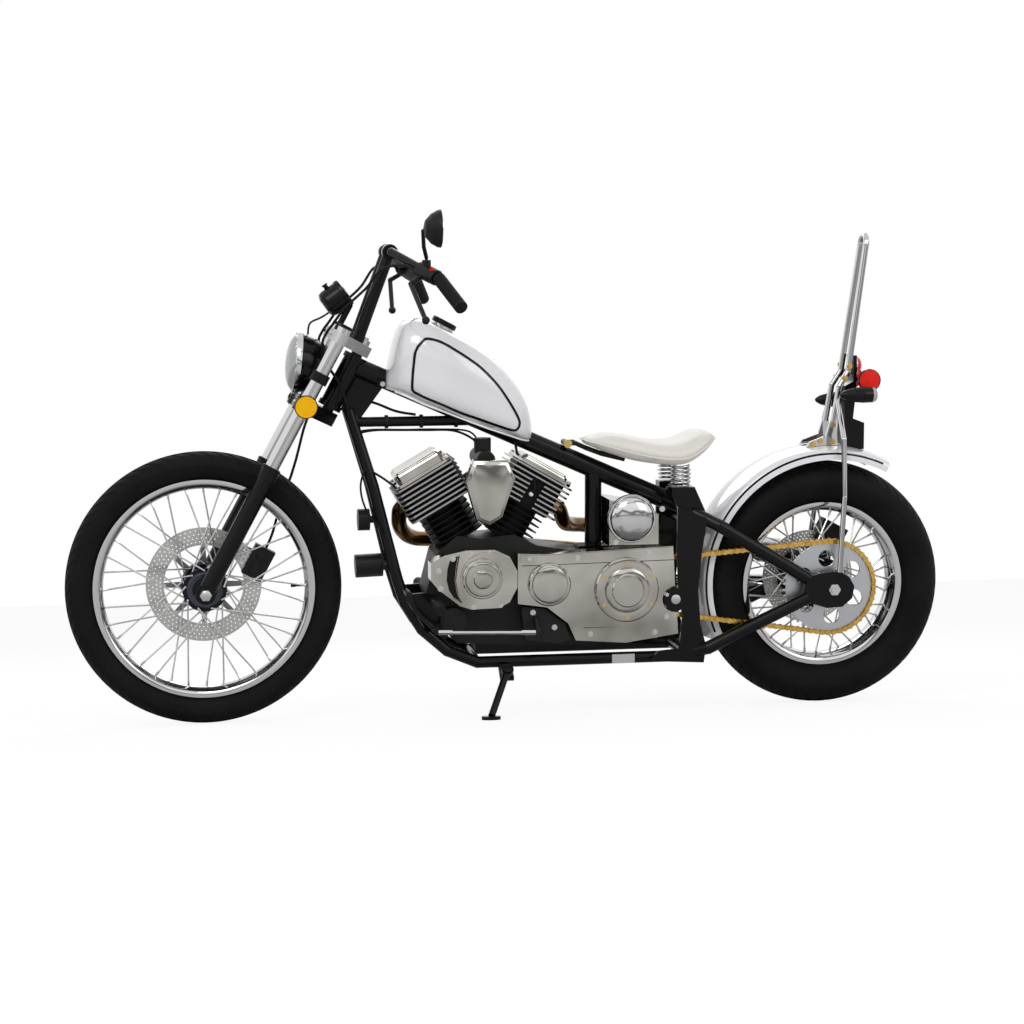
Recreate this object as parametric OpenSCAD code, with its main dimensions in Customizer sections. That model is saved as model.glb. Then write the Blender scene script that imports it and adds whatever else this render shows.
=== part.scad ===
// Chopper motorcycle, parked and leaning on its side stand.
// The machine is laid out upright first: X runs from the front axle to the back, Z up from the
// ground, and the rider's left is towards -Y. At the end it leans over to the left, tyres and
// stand foot on z = 0, with the origin under the middle of its bounding box.

/* [Wheels] */
// Distance between the two axles
wheelbase = 1622; // [1500:1:1800]
// Front tyre's outer radius
front_r = 350; // [320:1:360]
// Front tyre's width
front_tyre_w = 90; // [80:1:110]
// Front rim's flange radius
front_rim_r = 280; // [260:1:290]
// Front rim's width over the flanges
front_rim_w = 56; // [46:1:70]
// Rear tyre's outer radius
rear_r = 324; // [300:1:340]
// Rear tyre's width
rear_tyre_w = 150; // [130:1:160]
// Rear rim's flange radius
rear_rim_r = 217; // [205:1:225]
// Rear rim's width over the flanges
rear_rim_w = 96; // [84:1:110]
// Spokes in each wheel
spokes = 36; // [28:4:40]
// Front brake disc's radius
front_disc_r = 148; // [130:1:155]
// Rear brake disc's radius
rear_disc_r = 125; // [110:1:140]

/* [Steering] */
// Steering axis and fork legs, lean back from upright, degrees
rake = 28.5; // [25:0.5:34]
// Distance from the fork legs' plane back to the steering axis
offset = 66; // [50:1:75]
// Half the distance between the fork legs
leg_y = 98; // [90:1:110]
// Fork tube's radius
tube_r = 18; // [17:0.5:22]
// Fork slider's radius
slider_r = 22; // [21:0.5:27]
// Length from the axle up to the slider's seal
slider_len = 352; // [300:1:400]
// Length from the axle up to the fork tube's top
leg_len = 752; // [700:1:800]
// Steering stem's radius
stem_r = 15; // [12:0.5:18]

/* [Frame] */
// Backbone tube's radius
backbone_r = 25; // [20:1:28]
// Down tubes' and lower rails' radius
rail_r = 15; // [13:1:19]
// Half the distance between the lower rails
rail_y = 95; // [80:1:110]
// Height of the lower rails
rail_z = 152; // [140:1:180]
// Rear stays' radius
stay_r = 17; // [14:1:20]
// Half the distance between the rear stays
stay_y = 134; // [125:1:145]

/* [Engine] */
// Angle of each cylinder from upright, degrees
cyl_angle = 30; // [22:1:35]
// Crankshaft's place along the machine
crank_x = 712; // [690:1:730]
// Crankshaft's height
crank_z = 368; // [340:1:390]
// Cooling fins on each cylinder head
head_fins = 8; // [6:1:10]
// Cooling fins on each barrel
barrel_fins = 7; // [5:1:9]

/* [Chain] */
// Teeth on the rear sprocket
rear_teeth = 48; // [36:12:60]
// Teeth on the front sprocket
front_teeth = 21; // [17:1:24]
// Links in the chain
links = 110; // [104:2:120]
// Chain's middle, out from the centre line
chain_y = 101; // [98:1:108]

/* [Stance] */
// Lean to the left on the side stand, degrees
lean = 8; // [5:0.5:12]
// Side stand leg's radius
stand_r = 9; // [8:0.5:12]

/* [Hidden] */
$fn = 48;
// clearances
gap = 0.3;
run = 0.06;
cut = 1;
axle_r = 10;
neck_r = 27;
case_y = 74;
gear_y = 112;
case_top = 430;
perch_z = 594;
pitch = 15.886;
link_h = 6.8;
// how far a sprocket's root circle lies under the links
chain_seat = 0.6;
link_end = pitch - 3 - 0.95;

// handlebar: middle, and the left grip's two ends
bar_mid = [478, 0, 1200];
grip_in = [574, -262, 1137];
grip_out = [612, -368, 1072];

// lean: both tyres stand on the edge of their crown's flat strip
crown = 6;
raise = crown * sin(lean);
// middle of the bounding box along and across
mid_x = (wheelbase + rear_r - front_r) / 2;
mid_y = -grip_out.z * sin(lean);

// fork: a point x' behind and z' up along the legs, as [x, z] of the machine
function fx(a, b) = a * cos(rake) + b * sin(rake);
function fz(a, b) = front_r - a * sin(rake) + b * cos(rake);
clamp_low = 515;
clamp_h = 34;
neck_low = clamp_low + clamp_h + 6;
neck_high = neck_low + 150;
top_clamp = neck_high + 6;
top_h = 28;

// stand: pivot, foot and the axis that lays the leg along the rail when folded
pivot = [760, -142, 136];
foot_x = -58;
foot_y = -104;
foot_h = 6;
function ground(y) = (-raise - y * sin(lean)) / cos(lean);
foot_end = [pivot.x + foot_x, pivot.y + foot_y, ground(pivot.y + foot_y) + foot_h / cos(lean)];
leg_v = foot_end - pivot;
hinge_tilt = atan2(-leg_v.z, -leg_v.y);

// chain: pitch radii, centre distance closed so that the links meet
pr_rear = pitch * rear_teeth / 360 * 180 / PI;
pr_front = pitch * front_teeth / 360 * 180 / PI;
function chain_a(c) = asin((pr_rear - pr_front) / c);
function chain_run(c) = sqrt(c * c - (pr_rear - pr_front) * (pr_rear - pr_front));
function chain_wrap(c) = pr_rear * (180 + 2 * chain_a(c)) * PI / 180;
function chain_nose(c) = pr_front * (180 - 2 * chain_a(c)) * PI / 180;
function chain_len(c) = 2 * chain_run(c) + chain_wrap(c) + chain_nose(c);
function close_up(lo, hi, n) =
    n == 0 ? (lo + hi) / 2
    : chain_len((lo + hi) / 2) < links * pitch ? close_up((lo + hi) / 2, hi, n - 1)
    : close_up(lo, (lo + hi) / 2, n - 1);
chain_c = close_up(400, 800, 40);
chain_tilt = 2;
chain_al = chain_a(chain_c);
// place [x, z, turn] of a pin s along the loop, rear sprocket at 0, front one at -chain_c
function chain_at(s) =
    s < chain_wrap(chain_c) ?
        let(t = -90 - chain_al + s / pr_rear * 180 / PI)
        [pr_rear * cos(t), pr_rear * sin(t), t + 90]
    : s < chain_wrap(chain_c) + chain_run(chain_c) ?
        let(u = s - chain_wrap(chain_c), t = 90 + chain_al)
        [pr_rear * cos(t) + u * cos(t + 90), pr_rear * sin(t) + u * sin(t + 90), t + 90]
    : s < chain_wrap(chain_c) + chain_run(chain_c) + chain_nose(chain_c) ?
        let(u = s - chain_wrap(chain_c) - chain_run(chain_c), t = 90 + chain_al + u / pr_front * 180 / PI)
        [pr_front * cos(t) - chain_c, pr_front * sin(t), t + 90]
    :
        let(u = s - chain_wrap(chain_c) - chain_run(chain_c) - chain_nose(chain_c), t = -90 - chain_al)
        [pr_front * cos(t) - chain_c + u * cos(t + 90), pr_front * sin(t) + u * sin(t + 90), t + 90];

// ---- helpers ----

module parked() {
  translate([-mid_x, -mid_y, raise])
    rotate([lean, 0, 0])
      children();
}

module fork_frame() {
  translate([0, 0, front_r])
    rotate([0, rake, 0])
      children();
}

// a round bar from a to b
module bar(a, b, r, n = 32) {
  v = b - a;
  translate(a)
    rotate([0, acos(v.z / norm(v)), atan2(v.y, v.x)])
      cylinder(r = r, h = norm(v), $fn = n);
}

// a tube along a row of points, its corners rounded by balls a hair larger
module pipe(path, r, n = 32) {
  for (i = [0:len(path) - 2])
    bar(path[i], path[i + 1], r, n);
  for (i = [1:len(path) - 2])
    translate(path[i])
      sphere(r = r + 0.25, $fn = n);
}

// a round turned shape lying across the machine
module across(y = 0) {
  translate([0, y, 0])
    rotate([90, 0, 0])
      children();
}

// a flat plate standing along the machine from y0 to y1, outline in [x, z]
module plate(y0, y1) {
  translate([0, y1, 0])
    rotate([90, 0, 0])
      linear_extrude(y1 - y0)
        children();
}

// both sides
module pair() {
  children();
  mirror([0, 1, 0])
    children();
}

// a swept round cord along a list of points
module cord(path, r, n = 8) {
  m = len(path);
  dirs = [for (i = [0:m - 1])
    let(v = path[min(i + 1, m - 1)] - path[max(i - 1, 0)]) v / norm(v)];
  sides = [for (d = dirs)
    let(s = cross(d, abs(d.y) > 0.9 ? [1, 0, 0] : [0, 1, 0])) s / norm(s)];
  pts = [for (i = [0:m - 1]) for (k = [0:n - 1])
    let(t = k * 360 / n) path[i] + r * (cos(t) * sides[i] + sin(t) * cross(dirs[i], sides[i]))];
  body = [for (i = [0:m - 2]) for (k = [0:n - 1])
    [(i + 1) * n + k, (i + 1) * n + (k + 1) % n, i * n + (k + 1) % n, i * n + k]];
  ends = [[for (k = [0:n - 1]) k], [for (k = [n - 1:-1:0]) (m - 1) * n + k]];
  polyhedron(pts, concat(body, ends), convexity = 6);
}

// rounded path through a few points, by quadratic curves at each corner
function eased(p, n = 4) = concat([p[0]],
  [for (i = [1:len(p) - 2]) for (k = [0:n])
    let(t = k / n, a = (p[i - 1] + p[i]) / 2, b = (p[i] + p[i + 1]) / 2)
    (1 - t) * (1 - t) * a + 2 * t * (1 - t) * p[i] + t * t * b],
  [p[len(p) - 1]]);

// ---- wheels ----

module tyre(r, w, rim_r, rim_w) {
  h = r - rim_r;
  // share of the height over the rim's flange, share of the half width
  rows = [[0.14, 0.8], [0.36, 0.96], [0.56, 1], [0.76, 0.86], [0.9, 0.6], [0.97, 0.33]];
  side = concat([[rim_r - 12, rim_w / 2 - 9], [rim_r + 1, rim_w / 2 - 4.5]],
    [for (p = rows) [rim_r + h * p[0], w / 2 * p[1]]], [[r, crown]]);
  back = [for (i = [len(side) - 1:-1:0]) [side[i].x, -side[i].y]];
  rotate([90, 0, 0])
    rotate_extrude($fn = 72)
      polygon(concat(side, back));
}

module rim_ring(r, w) {
  rotate([90, 0, 0])
    rotate_extrude($fn = 96)
      polygon([[r, w / 2], [r, w / 2 - 4], [r - 12, w / 2 - 8], [r - 12 - gap, w / 2 - 9],
        [r - 12 - gap, 9 - w / 2], [r - 12, 8 - w / 2], [r, 4 - w / 2], [r, -w / 2],
        [r - 15, -w / 2], [r - 19, -w * 0.3], [r - 25, -w * 0.16], [r - 25, w * 0.16],
        [r - 19, w * 0.3], [r - 15, w / 2]]);
}

// one side's spokes, half of them leading and half trailing
module spoke_set(rim_r, head_r, flange, head, sweep, side) {
  n = spokes / 4;
  for (i = [0:n - 1]) {
    for (k = [-1, 1]) {
      a = i * 360 / n + (side > 0 ? 0 : 10);
      y0 = k > 0 ? flange[1] + head : flange[0] - spoke_r - gap;
      root = [head_r * cos(a), side * y0, head_r * sin(a)];
      b = a + k * sweep + k * 180 / n / 2;
      bar(root, [(rim_r - 20) * cos(b), side * 7, (rim_r - 20) * sin(b)], spoke_r, 6);
      // its bent end on the hub's flange
      bar(root, [root.x, side * (k > 0 ? flange[1] + gap : flange[0] - gap), root.z], spoke_r + 0.6, 6);
    }
  }
}

spoke_r = 2;
front_flange = [33, 38];
rear_flange = [42, 48];

module front_tyre() color("black") parked() translate([0, 0, front_r])
  tyre(front_r, front_tyre_w, front_rim_r, front_rim_w);

module front_rim() color("silver") parked() translate([0, 0, front_r]) {
  rim_ring(front_rim_r, front_rim_w);
  for (s = [-1, 1])
    spoke_set(front_rim_r, 50, front_flange, 4.4, 34, s);
}

hub_half = 112;

module hub(core_r, flange_r, flange, half) {
  rotate([90, 0, 0])
    rotate_extrude($fn = 64)
      polygon([[axle_r + run, -half], [24, -half], [24, -flange[1] - 5], [flange_r - 14, -flange[1]],
        [flange_r, -flange[1]], [flange_r, -flange[0]], [core_r + 8, -flange[0]], [core_r, -flange[0] + 12],
        [core_r, flange[0] - 12], [core_r + 8, flange[0]], [flange_r, flange[0]], [flange_r, flange[1]],
        [flange_r - 14, flange[1]], [24, flange[1] + 5], [24, half], [axle_r + run, half]]);
}

module front_hub() color("dimgray") parked() translate([0, 0, front_r])
  hub(28, 56, front_flange, 68);

module disc(r, inner, thick, y, arms) {
  across(y + thick / 2)
    linear_extrude(thick)
      difference() {
        circle(r = r, $fn = 96);
        difference() {
          circle(r = inner, $fn = 64);
          circle(r = inner * 0.56);
          for (i = [0:arms - 1])
            rotate(i * 360 / arms)
              translate([0, -7])
                square([inner + 2, 14]);
        }
        circle(r = 24.2);
      }
}

module front_disc() color("silver") parked() translate([0, 0, front_r])
  disc(front_disc_r, 104, 5, 58, 8);

module rear_tyre() color("black") parked() translate([wheelbase, 0, rear_r])
  tyre(rear_r, rear_tyre_w, rear_rim_r, rear_rim_w);

module rear_rim() color("silver") parked() translate([wheelbase, 0, rear_r]) {
  rim_ring(rear_rim_r, rear_rim_w);
  for (s = [-1, 1])
    spoke_set(rear_rim_r, 62, rear_flange, 6, 34, s);
}

module rear_hub() color("dimgray") parked() translate([wheelbase, 0, rear_r])
  hub(40, 68, rear_flange, hub_half);

module rear_disc() color("silver") parked() translate([wheelbase, 0, rear_r])
  disc(rear_disc_r, 88, 5, 92, 6);

module sprocket() color("gainsboro") parked() translate([wheelbase, -chain_y, rear_r])
  rotate([0, chain_tilt, 0])
    rotate([90, 0, 0])
      translate([0, 0, -3])
        linear_extrude(6)
          difference() {
            union() {
              circle(r = pr_rear - link_h / 2 - chain_seat, $fn = 96);
              for (i = [0:rear_teeth - 1])
                rotate((i + 0.5) * 360 / rear_teeth - 90 - chain_al)
                  polygon([[pr_rear - 7, -3.3], [pr_rear + 3.4, -1.1], [pr_rear + 3.4, 1.1], [pr_rear - 7, 3.3]]);
            }
            for (i = [0:5])
              rotate(i * 60 + 38)
                translate([76, 0])
                  circle(r = 22);
            circle(r = 24.2);
          }

// ---- frame ----

neck_foot = [fx(offset, neck_low), 0, fz(offset, neck_low)];
neck_head = [fx(offset, neck_high), 0, fz(offset, neck_high)];
back_slope = -0.4407;
function back_z(x) = 668 + back_slope * (x - 941);
post_x = 1238;
post_y = 120;
// height of the rail that runs under the tank
rail_top = 768;

module neck() {
  fork_frame()
    translate([offset, 0, neck_low]) {
      cylinder(r = neck_r, h = neck_high - neck_low);
      // bearing cups
      cylinder(r = neck_r + 4, h = 14);
      translate([0, 0, neck_high - neck_low - 14])
        cylinder(r = neck_r + 4, h = 14);
    }
}

module axle_plate() {
  translate([wheelbase, rear_r])
    polygon([[-78, 6], [-70, 34], [-20, 44], [18, 46], [44, 30], [58, 6], [52, -26], [26, -48],
      [-16, -50], [-66, -34], [-80, -10]]);
}

module frame() color("black") parked() difference() {
  union() {
    neck();
    // backbone, top rail and seat tube
    bar([396, 0, back_z(396)], [post_x - 22, 0, back_z(post_x - 22)], backbone_r);
    bar([neck_foot.x + 56, 0, rail_top], [crank_x, 0, rail_top], 13);
    bar([1011, 0, back_z(1011)], [1011, 0, case_top + 4], 22);
    translate([966, -36, case_top + gap])
      cube([90, 72, 8]);
    // tank's front mounting bar
    bar([452, -39.7, 870], [452, 39.7, 870], 8);
    // gusset behind the neck
    plate(-4, 4)
      polygon([[352, 800], [395, 905], [470, 868], [402, 775]]);
    pair() {
      // down tube, bend and lower rail
      pipe([[372, -20, 800], [430, -44, 606], [486, -70, 372], [506, -78, 308], [548, -86, 240],
        [612, -92, 184], [690, -rail_y, rail_z], [1258, -rail_y, rail_z]], rail_r);
      // upper stay
      pipe([[post_x - 40, -8, back_z(post_x - 40)], [1262, -92, 524], [1318, -stay_y, 496],
        [wheelbase - 66, -stay_y, rear_r + 28]], stay_r);
      // lower stay
      pipe([[1230, -rail_y, rail_z + 6], [1290, -stay_y, 178], [wheelbase - 66, -stay_y, rear_r - 22]], stay_r);
      // rear post plate with its engine boss
      plate(-post_y - 8, -post_y)
        polygon([[1208, 548], [1286, 516], [1272, 420], [1264, 330], [1270, 240], [1286, 182],
          [1280, 138], [1136, 146], [1158, 172], [1214, 176], [1222, 262], [1212, 330], [1206, 430]]);
      across(-116)
        translate([1203, 307, 0])
          cylinder(r = 31, h = 16);
      // axle plate
      plate(-stay_y - 6, -stay_y + 6)
        axle_plate();
      // engine mount plate at the bend
      plate(-case_y - 7, -case_y - gap)
        polygon([[486, 330], [560, 334], [592, 322], [612, 300], [632, 246], [600, 196], [560, 224], [520, 268]]);
    }
    // cross tubes
    bar([1240, -124, rail_z + 4], [1240, 124, rail_z + 4], 13);
    bar([690, -rail_y, rail_z], [690, rail_y, rail_z], 12);
    bar([1250, -124, 500], [1250, 124, 500], 14);
    bar([1203, -116, 307], [1203, 116, 307], 10);
    // spring perches and the fender's two stays
    pair()
      plate(-96, -52)
        polygon([[1200, perch_z - 22], [1200, perch_z], [1260, perch_z], [1292, 524], [1262, 494], [1236, 500]]);
    bar([1225, -90, perch_z - 14], [1225, 90, perch_z - 14], 10);
    bar([1225, 0, perch_z - 14], [1212, 0, back_z(1212)], 18);
    bar([1250, 0, 500], [1250 + 59.8 * 0.919, 0, 500 - 59.8 * 0.394], 8);
    bar([1240, 0, 156], [1240 + 75.4 * 0.909, 0, 156 + 75.4 * 0.416], 8);
    // stand lug on the left rail
    stand_lug();
  }
  // steering bore
  fork_frame()
    translate([offset, 0, neck_low - cut])
      cylinder(r = stem_r + run, h = neck_high - neck_low + 2 * cut);
  // left mount plate's bite around the oil filter's housing
  across(-case_y)
    translate([628, 262, 0])
      cylinder(r = 34 + 2 * gap, h = 7 + cut);
  // axle slots
  translate([wheelbase, 160, rear_r])
    rotate([90, 0, 0])
      cylinder(r = axle_r + gap, h = 320);
}

module at_pivot() {
  translate(pivot)
    rotate([hinge_tilt, 0, 0])
      children();
}

module stand_lug() {
  at_pivot() {
    translate([0, 0, -24])
      cylinder(r = 8, h = 36);
    translate([0, 0, 8 + gap])
      cylinder(r = 13, h = 4);
    translate([0, 0, -15])
      cylinder(r = 13, h = 7 - gap);
    translate([-18, -14, -24])
      cube([36, 54, 10]);
  }
}

// ---- engine ----

module crankcase() color("dimgray") parked() {
  plate(-case_y, case_y)
    polygon([[560, 330], [586, 430], [640, 478], [700, 470], [790, 478], [850, 448], [960, case_top],
      [1150, case_top], [1180, 340], [1176, 230], [1000, 184], [800, 190], [640, 200], [580, 260]]);
  // gear housing ahead of the primary cover's cut corner, with the shift shaft's boss
  plate(-gear_y, -case_y + cut)
    polygon([[802, 296], [862, 289], [916, 248], [932, 206], [900, 198], [812, 208]]);
  // oil filter's round housing and the sump
  across(-case_y + cut)
    translate([628, 262, 0])
      cylinder(r = 34, h = 30 + cut);
  plate(-56, 56)
    polygon([[690, 176], [690, 214], [1100, 214], [1100, 184], [1060, 170], [720, 166]]);
  // drive sprocket on the gearbox shaft
  translate([wheelbase, 0, rear_r])
    rotate([0, chain_tilt, 0])
      translate([-chain_c, 0, 0]) {
        across(-case_y + 4)
          cylinder(r = 14, h = chain_y - case_y + 8);
        across(-chain_y + 3)
          cylinder(r = pr_front - link_h / 2 - chain_seat, h = 6);
      }
}

// one cylinder's own frame: z runs out from the crankshaft, x along the machine
module bank(side) {
  translate([crank_x, 0, crank_z])
    rotate([0, side * cyl_angle, 0])
      children();
}

module block(x, y, z, h) {
  translate([-x / 2, -y / 2, z])
    cube([x, y, h]);
}

function bank_pt(side, t, y, s) =
    [crank_x + side * s * sin(cyl_angle) + t * cos(cyl_angle), y,
      crank_z + s * cos(cyl_angle) - side * t * sin(cyl_angle)];
pipe_r = 20;
port_y = 36;
port_s = 250;
front_exit = [1250, 204, 296];
rear_exit = [1260, 204, 404];
front_tail = [1648, 206, 272];
rear_tail = [1716, 206, 366];
// a point d ahead of a muffler's mouth, in line with it
function before(mouth, tail, d) = mouth - d * (tail - mouth) / norm(tail - mouth);
head_x = 140;
intake_r = 16;
intake_s = 232;

module front_pipe(r) {
  pipe([bank_pt(-1, -head_x / 2 - gap, port_y, port_s), bank_pt(-1, -94, port_y, port_s), [506, 60, 490],
    [540, 110, 450], [660, 156, 438], [1020, 162, 400], [1060, 168, 386],
    before(front_exit, front_tail, 40), front_exit], r);
}

module rear_pipe(r) {
  pipe([bank_pt(1, head_x / 2 + gap, port_y, port_s), bank_pt(1, 104, port_y, port_s), [944, 66, 488],
    [972, 116, 476], [1020, 156, 470],
    before(rear_exit, rear_tail, 40), rear_exit], r);
}

// a stub out of each head's inner side, into the intake
module intake_arms(r) {
  for (s = [-1, 1])
    bar(bank_pt(s, -s * (head_x / 2 + gap), 0, intake_s), bank_pt(s, -s * 112, 0, intake_s), r);
}

// a flat slab with its corners cut off, in a cylinder's own frame
module fin(x, y, z, h, corner) {
  translate([0, 0, z])
    linear_extrude(h)
      polygon([for (q = [[1, 1], [-1, 1], [-1, -1], [1, -1]]) for (e = q.x * q.y > 0 ? [0, 1] : [1, 0])
        [q.x * (x / 2 - corner * e), q.y * (y / 2 - corner * (1 - e))]]);
}

fin_x = 178;
fin_y = 156;
head_top = 308;
deck = 210;

module jug() {
  translate([0, 0, 112])
    cylinder(r = 50, h = 100);
  for (i = [0:barrel_fins - 1])
    fin(132, 138, 116 + i * 92 / (barrel_fins - 1), 4, 22);
  fin(head_x, 120, deck, head_top - deck, 10);
  for (i = [0:head_fins - 1])
    fin(fin_x, fin_y, deck + 4 + i * 88 / (head_fins - 1), 5, 12);
}

// gaps in the fins: exhaust port, intake port and spark plug, side -1 on the front cylinder
module jug_gaps(side) {
  translate([side > 0 ? head_x / 2 : -fin_x / 2 - cut, port_y - pipe_r - 4, port_s - pipe_r - 36])
    cube([fin_x / 2 - head_x / 2 + cut, 2 * pipe_r + 8, 2 * pipe_r + 40]);
  translate([side > 0 ? -fin_x / 2 - cut : head_x / 2, -intake_r - 4, intake_s - intake_r - 4])
    cube([fin_x / 2 - head_x / 2 + cut, 2 * intake_r + 8, 2 * intake_r + 8]);
  translate([-18, side > 0 ? -fin_y / 2 - cut : 52, deck - cut])
    cube([36, fin_y / 2 - 52 + cut, 82]);
}

module cylinders() color("dimgray") parked() difference() {
  for (s = [-1, 1])
    bank(s)
      difference() {
        jug();
        jug_gaps(s);
      }
  // the case's top face, and the joint between the two barrels
  plate(-200, 200)
    polygon([[560, 330], [586, 437], [640, 478.3], [700, 470.3], [790, 478.3], [850, 448.3], [960, case_top + gap],
      [980, 200], [560, 200]]);
  translate([crank_x - 0.5, -100, 400])
    cube([1, 200, 400]);
}

module rocker_covers() color("silver") parked() {
  // side, height over the crankshaft
  for (c = [[-1, 346], [1, 331]])
    bank(c[0]) {
      fin(160, 150, head_top + gap, 8, 12);
      fin(134, 132, head_top + 8, c[1] - head_top - 12, 10);
      fin(122, 118, c[1] - 4, 4, 8);
    }
}

// the cover's outline, its rim drawn in by d
module intake_outline(d) {
  polygon([[676 + d * 0.5, 678 - d], [765 - d * 0.5, 674 - d], [784 - d, 629], [750 - d, 530 + d * 0.5],
    [718, 510 + d], [684 + d * 0.7, 525 + d * 0.7], [656 + d, 623]]);
}

module intake_cover() color("silver") parked() {
  plate(-140, -136)
    intake_outline(9);
  plate(-136, -104)
    intake_outline(0);
  plate(-104, -84)
    intake_outline(16);
  across(60)
    translate([crank_x, 606, 0])
      cylinder(r = 26, h = 150);
  intake_arms(intake_r);
}

module carburettor() color("dimgray") parked() {
  across(50)
    translate([716, 672, 0])
      cylinder(r = 24, h = 133.6);
  translate([716, -20, 672])
    cylinder(r = 22, h = 52);
  translate([698, -44, 606 + 26 + gap])
    cube([36, 56, 30]);
}

module primary_cover() color("silver") parked() difference() {
  union() {
    plate(-128, -case_y - gap)
      polygon([[790 + gap, 436], [860, 432], [1003, 438], [1196, 446], [1200, 380], [1204, 300], [1212, 216],
        [1073, 196], [942, 206], [922, 251], [866, 295], [790 + gap, 306]]);
    // rolled top edge, and the bulge from the crankshaft to the clutch
    plate(-133, -128)
      polygon([[796, 433], [860, 430], [1003, 436], [1192, 444], [1194, 426], [1003, 420], [860, 411], [796, 412]]);
    plate(-128 - gap, -128 + cut)
      polygon([[790 + gap, 330], [871, 296], [1073, 250], [1150, 280], [1156, 380], [1073, 424], [871, 410],
        [790 + gap, 400]]);
  }
  // skirt below the joint line
  plate(-140, -124)
    polygon([[900, 150], [1240, 150], [1240, 236], [958, 240], [930, 262], [896, 262]]);
  // the chain's room behind the cover, and the post's boss
  plate(-115, -case_y)
    polygon([[962, 236], [962, 424], [1260, 424], [1260, 236]]);
  across(-post_y + 6)
    translate([1203, 307, 0])
      cylinder(r = 34, h = 20);
}

module stator_cover() color("silver") parked() difference() {
  union() {
    plate(-134, -case_y - gap)
      polygon([[566, 372], [566, 418], [600, 436], [656, 448], [730, 448], [768, 430], [788, 392], [788, 350],
        [768, 312], [740, 298], [669, 296], [640, 306], [584, 350]]);
    // round face under the cap
    across(-134 + cut)
      translate([712, 372, 0])
        cylinder(r = 71, h = 6 + cut, $fn = 64);
  }
  // dark recess ahead of the round face
  plate(-160, -112)
    polygon([[616, 428], [640, 436], [634, 404], [630, 372], [636, 336], [646, 312], [626, 324], [612, 346],
      [606, 372], [608, 402]]);
}

module round_cover(x, z, y, rows) {
  for (r = rows)
    across(y)
      translate([x, z, r[1]])
        cylinder(r = r[0], h = r[2]);
}

module round_covers() color("silver") parked() {
  // radius, start out from the face, depth
  round_cover(696, 376, -140 - gap, [[51, 0, 12], [44, 11, 6], [23, 16, 5]]);
  round_cover(871, 355, -128 - gap, [[55, 0, 14], [46, 13, 6]]);
  round_cover(1073, 336, -128 - gap, [[83, 0, 14], [58, 13, 10], [42, 22, 6]]);
}

module right_cover() color("silver") parked() {
  plate(case_y + gap, 118)
    polygon([[600, 330], [620, 400], [690, 440], [800, 440], [860, 400], [980, 400], [1090, 390], [1120, 320],
      [1090, 240], [960, 220], [800, 230], [680, 260], [620, 290]]);
  across(134)
    translate([crank_x, crank_z, 0])
      cylinder(r = 58, h = 17);
}

// ---- exhaust on the right ----

module exhaust_pipes() color("peru") parked() {
  front_pipe(pipe_r);
  rear_pipe(pipe_r);
}

muffler_r = 34;

// a muffler with a coned nose and an open tail
module muffler(start, end) {
  v = end - start;
  len = norm(v);
  translate(start)
    rotate([0, acos(v.z / len), atan2(v.y, v.x)])
      rotate_extrude()
        polygon([[0, gap], [pipe_r + 3, gap], [muffler_r, 46], [muffler_r, len - 44], [muffler_r - 8, len],
          [muffler_r - 11, len], [muffler_r - 11, len - 60], [0, len - 60]]);
}

module mufflers() color("silver") parked() {
  muffler(front_exit, front_tail);
  muffler(rear_exit, rear_tail);
}

// ---- tank, seat and oil tank ----

// side outline: x, top, bottom, half width
tank_rows = [[466, 872, 856, 30], [478, 924, 850, 62], [490, 974, 846, 80], [506, 1014, 840, 94],
  [530, 1030, 829, 104], [560, 1030, 815, 112], [600, 1017, 800, 117], [640, 996, 784, 118],
  [690, 967, 764, 112], [730, 938, 749, 104], [770, 900, 735, 92], [806, 856, 722, 76], [828, 818, 716, 58],
  [840, 780, 718, 38], [844, 756, 726, 22]];
cap_x = 616;
cap_tilt = 28;

module at_cap() {
  translate([cap_x, 0, 1008.6])
    rotate([0, cap_tilt, 0])
      children();
}

module fuel_tank() color("white") parked() {
  n = 24;
  // each section: flat low side, full flanks, round top
  pts = [for (row = tank_rows) for (k = [0:n - 1])
    let(t = k * 360 / n, c = cos(t), s = sin(t), low = s < 0,
      hz = (row[1] - row[2]) / 2, mz = (row[1] + row[2]) / 2,
      e = low ? 0.45 : 0.8)
    [row[0], row[3] * sign(c) * pow(abs(c), 0.75), mz + hz * sign(s) * pow(abs(s), e)]];
  m = len(tank_rows);
  body = [for (i = [0:m - 2]) for (k = [0:n - 1])
    [i * n + k, (i + 1) * n + k, (i + 1) * n + (k + 1) % n, i * n + (k + 1) % n]];
  ends = [[for (k = [0:n - 1]) k], [for (k = [n - 1:-1:0]) (m - 1) * n + k]];
  difference() {
    union() {
      polyhedron(pts, concat(body, ends), convexity = 4);
      // filler neck and front ears
      at_cap()
        translate([0, 0, -10])
          cylinder(r = 27, h = 14);
      pair()
        plate(-48, -40)
          polygon([[440, 866], [444, 882], [460, 886], [500, 890], [500, 850], [452, 856]]);
    }
    // tunnel over the backbone
    translate([430, -backbone_r - 3, back_z(430)])
      rotate([0, atan(-back_slope), 0])
        translate([-300, 0, -200])
          cube([900, 2 * backbone_r + 6, 203 + backbone_r]);
  }
}

module fuel_cap() color("black") parked()
  at_cap()
    translate([0, 0, 4 + gap])
      cylinder(r = 33, h = 14);

// x, top, bottom, half width
seat_rows = [[984, 726, 706, 44], [1000, 731, 700, 62], [1040, 731, 684, 84], [1100, 722, 665, 108],
  [1150, 711, 656, 124], [1200, 707, 651, 132], [1240, 714, 653, 130], [1275, 732, 672, 120],
  [1300, 741, 692, 102], [1318, 736, 708, 74]];

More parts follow.
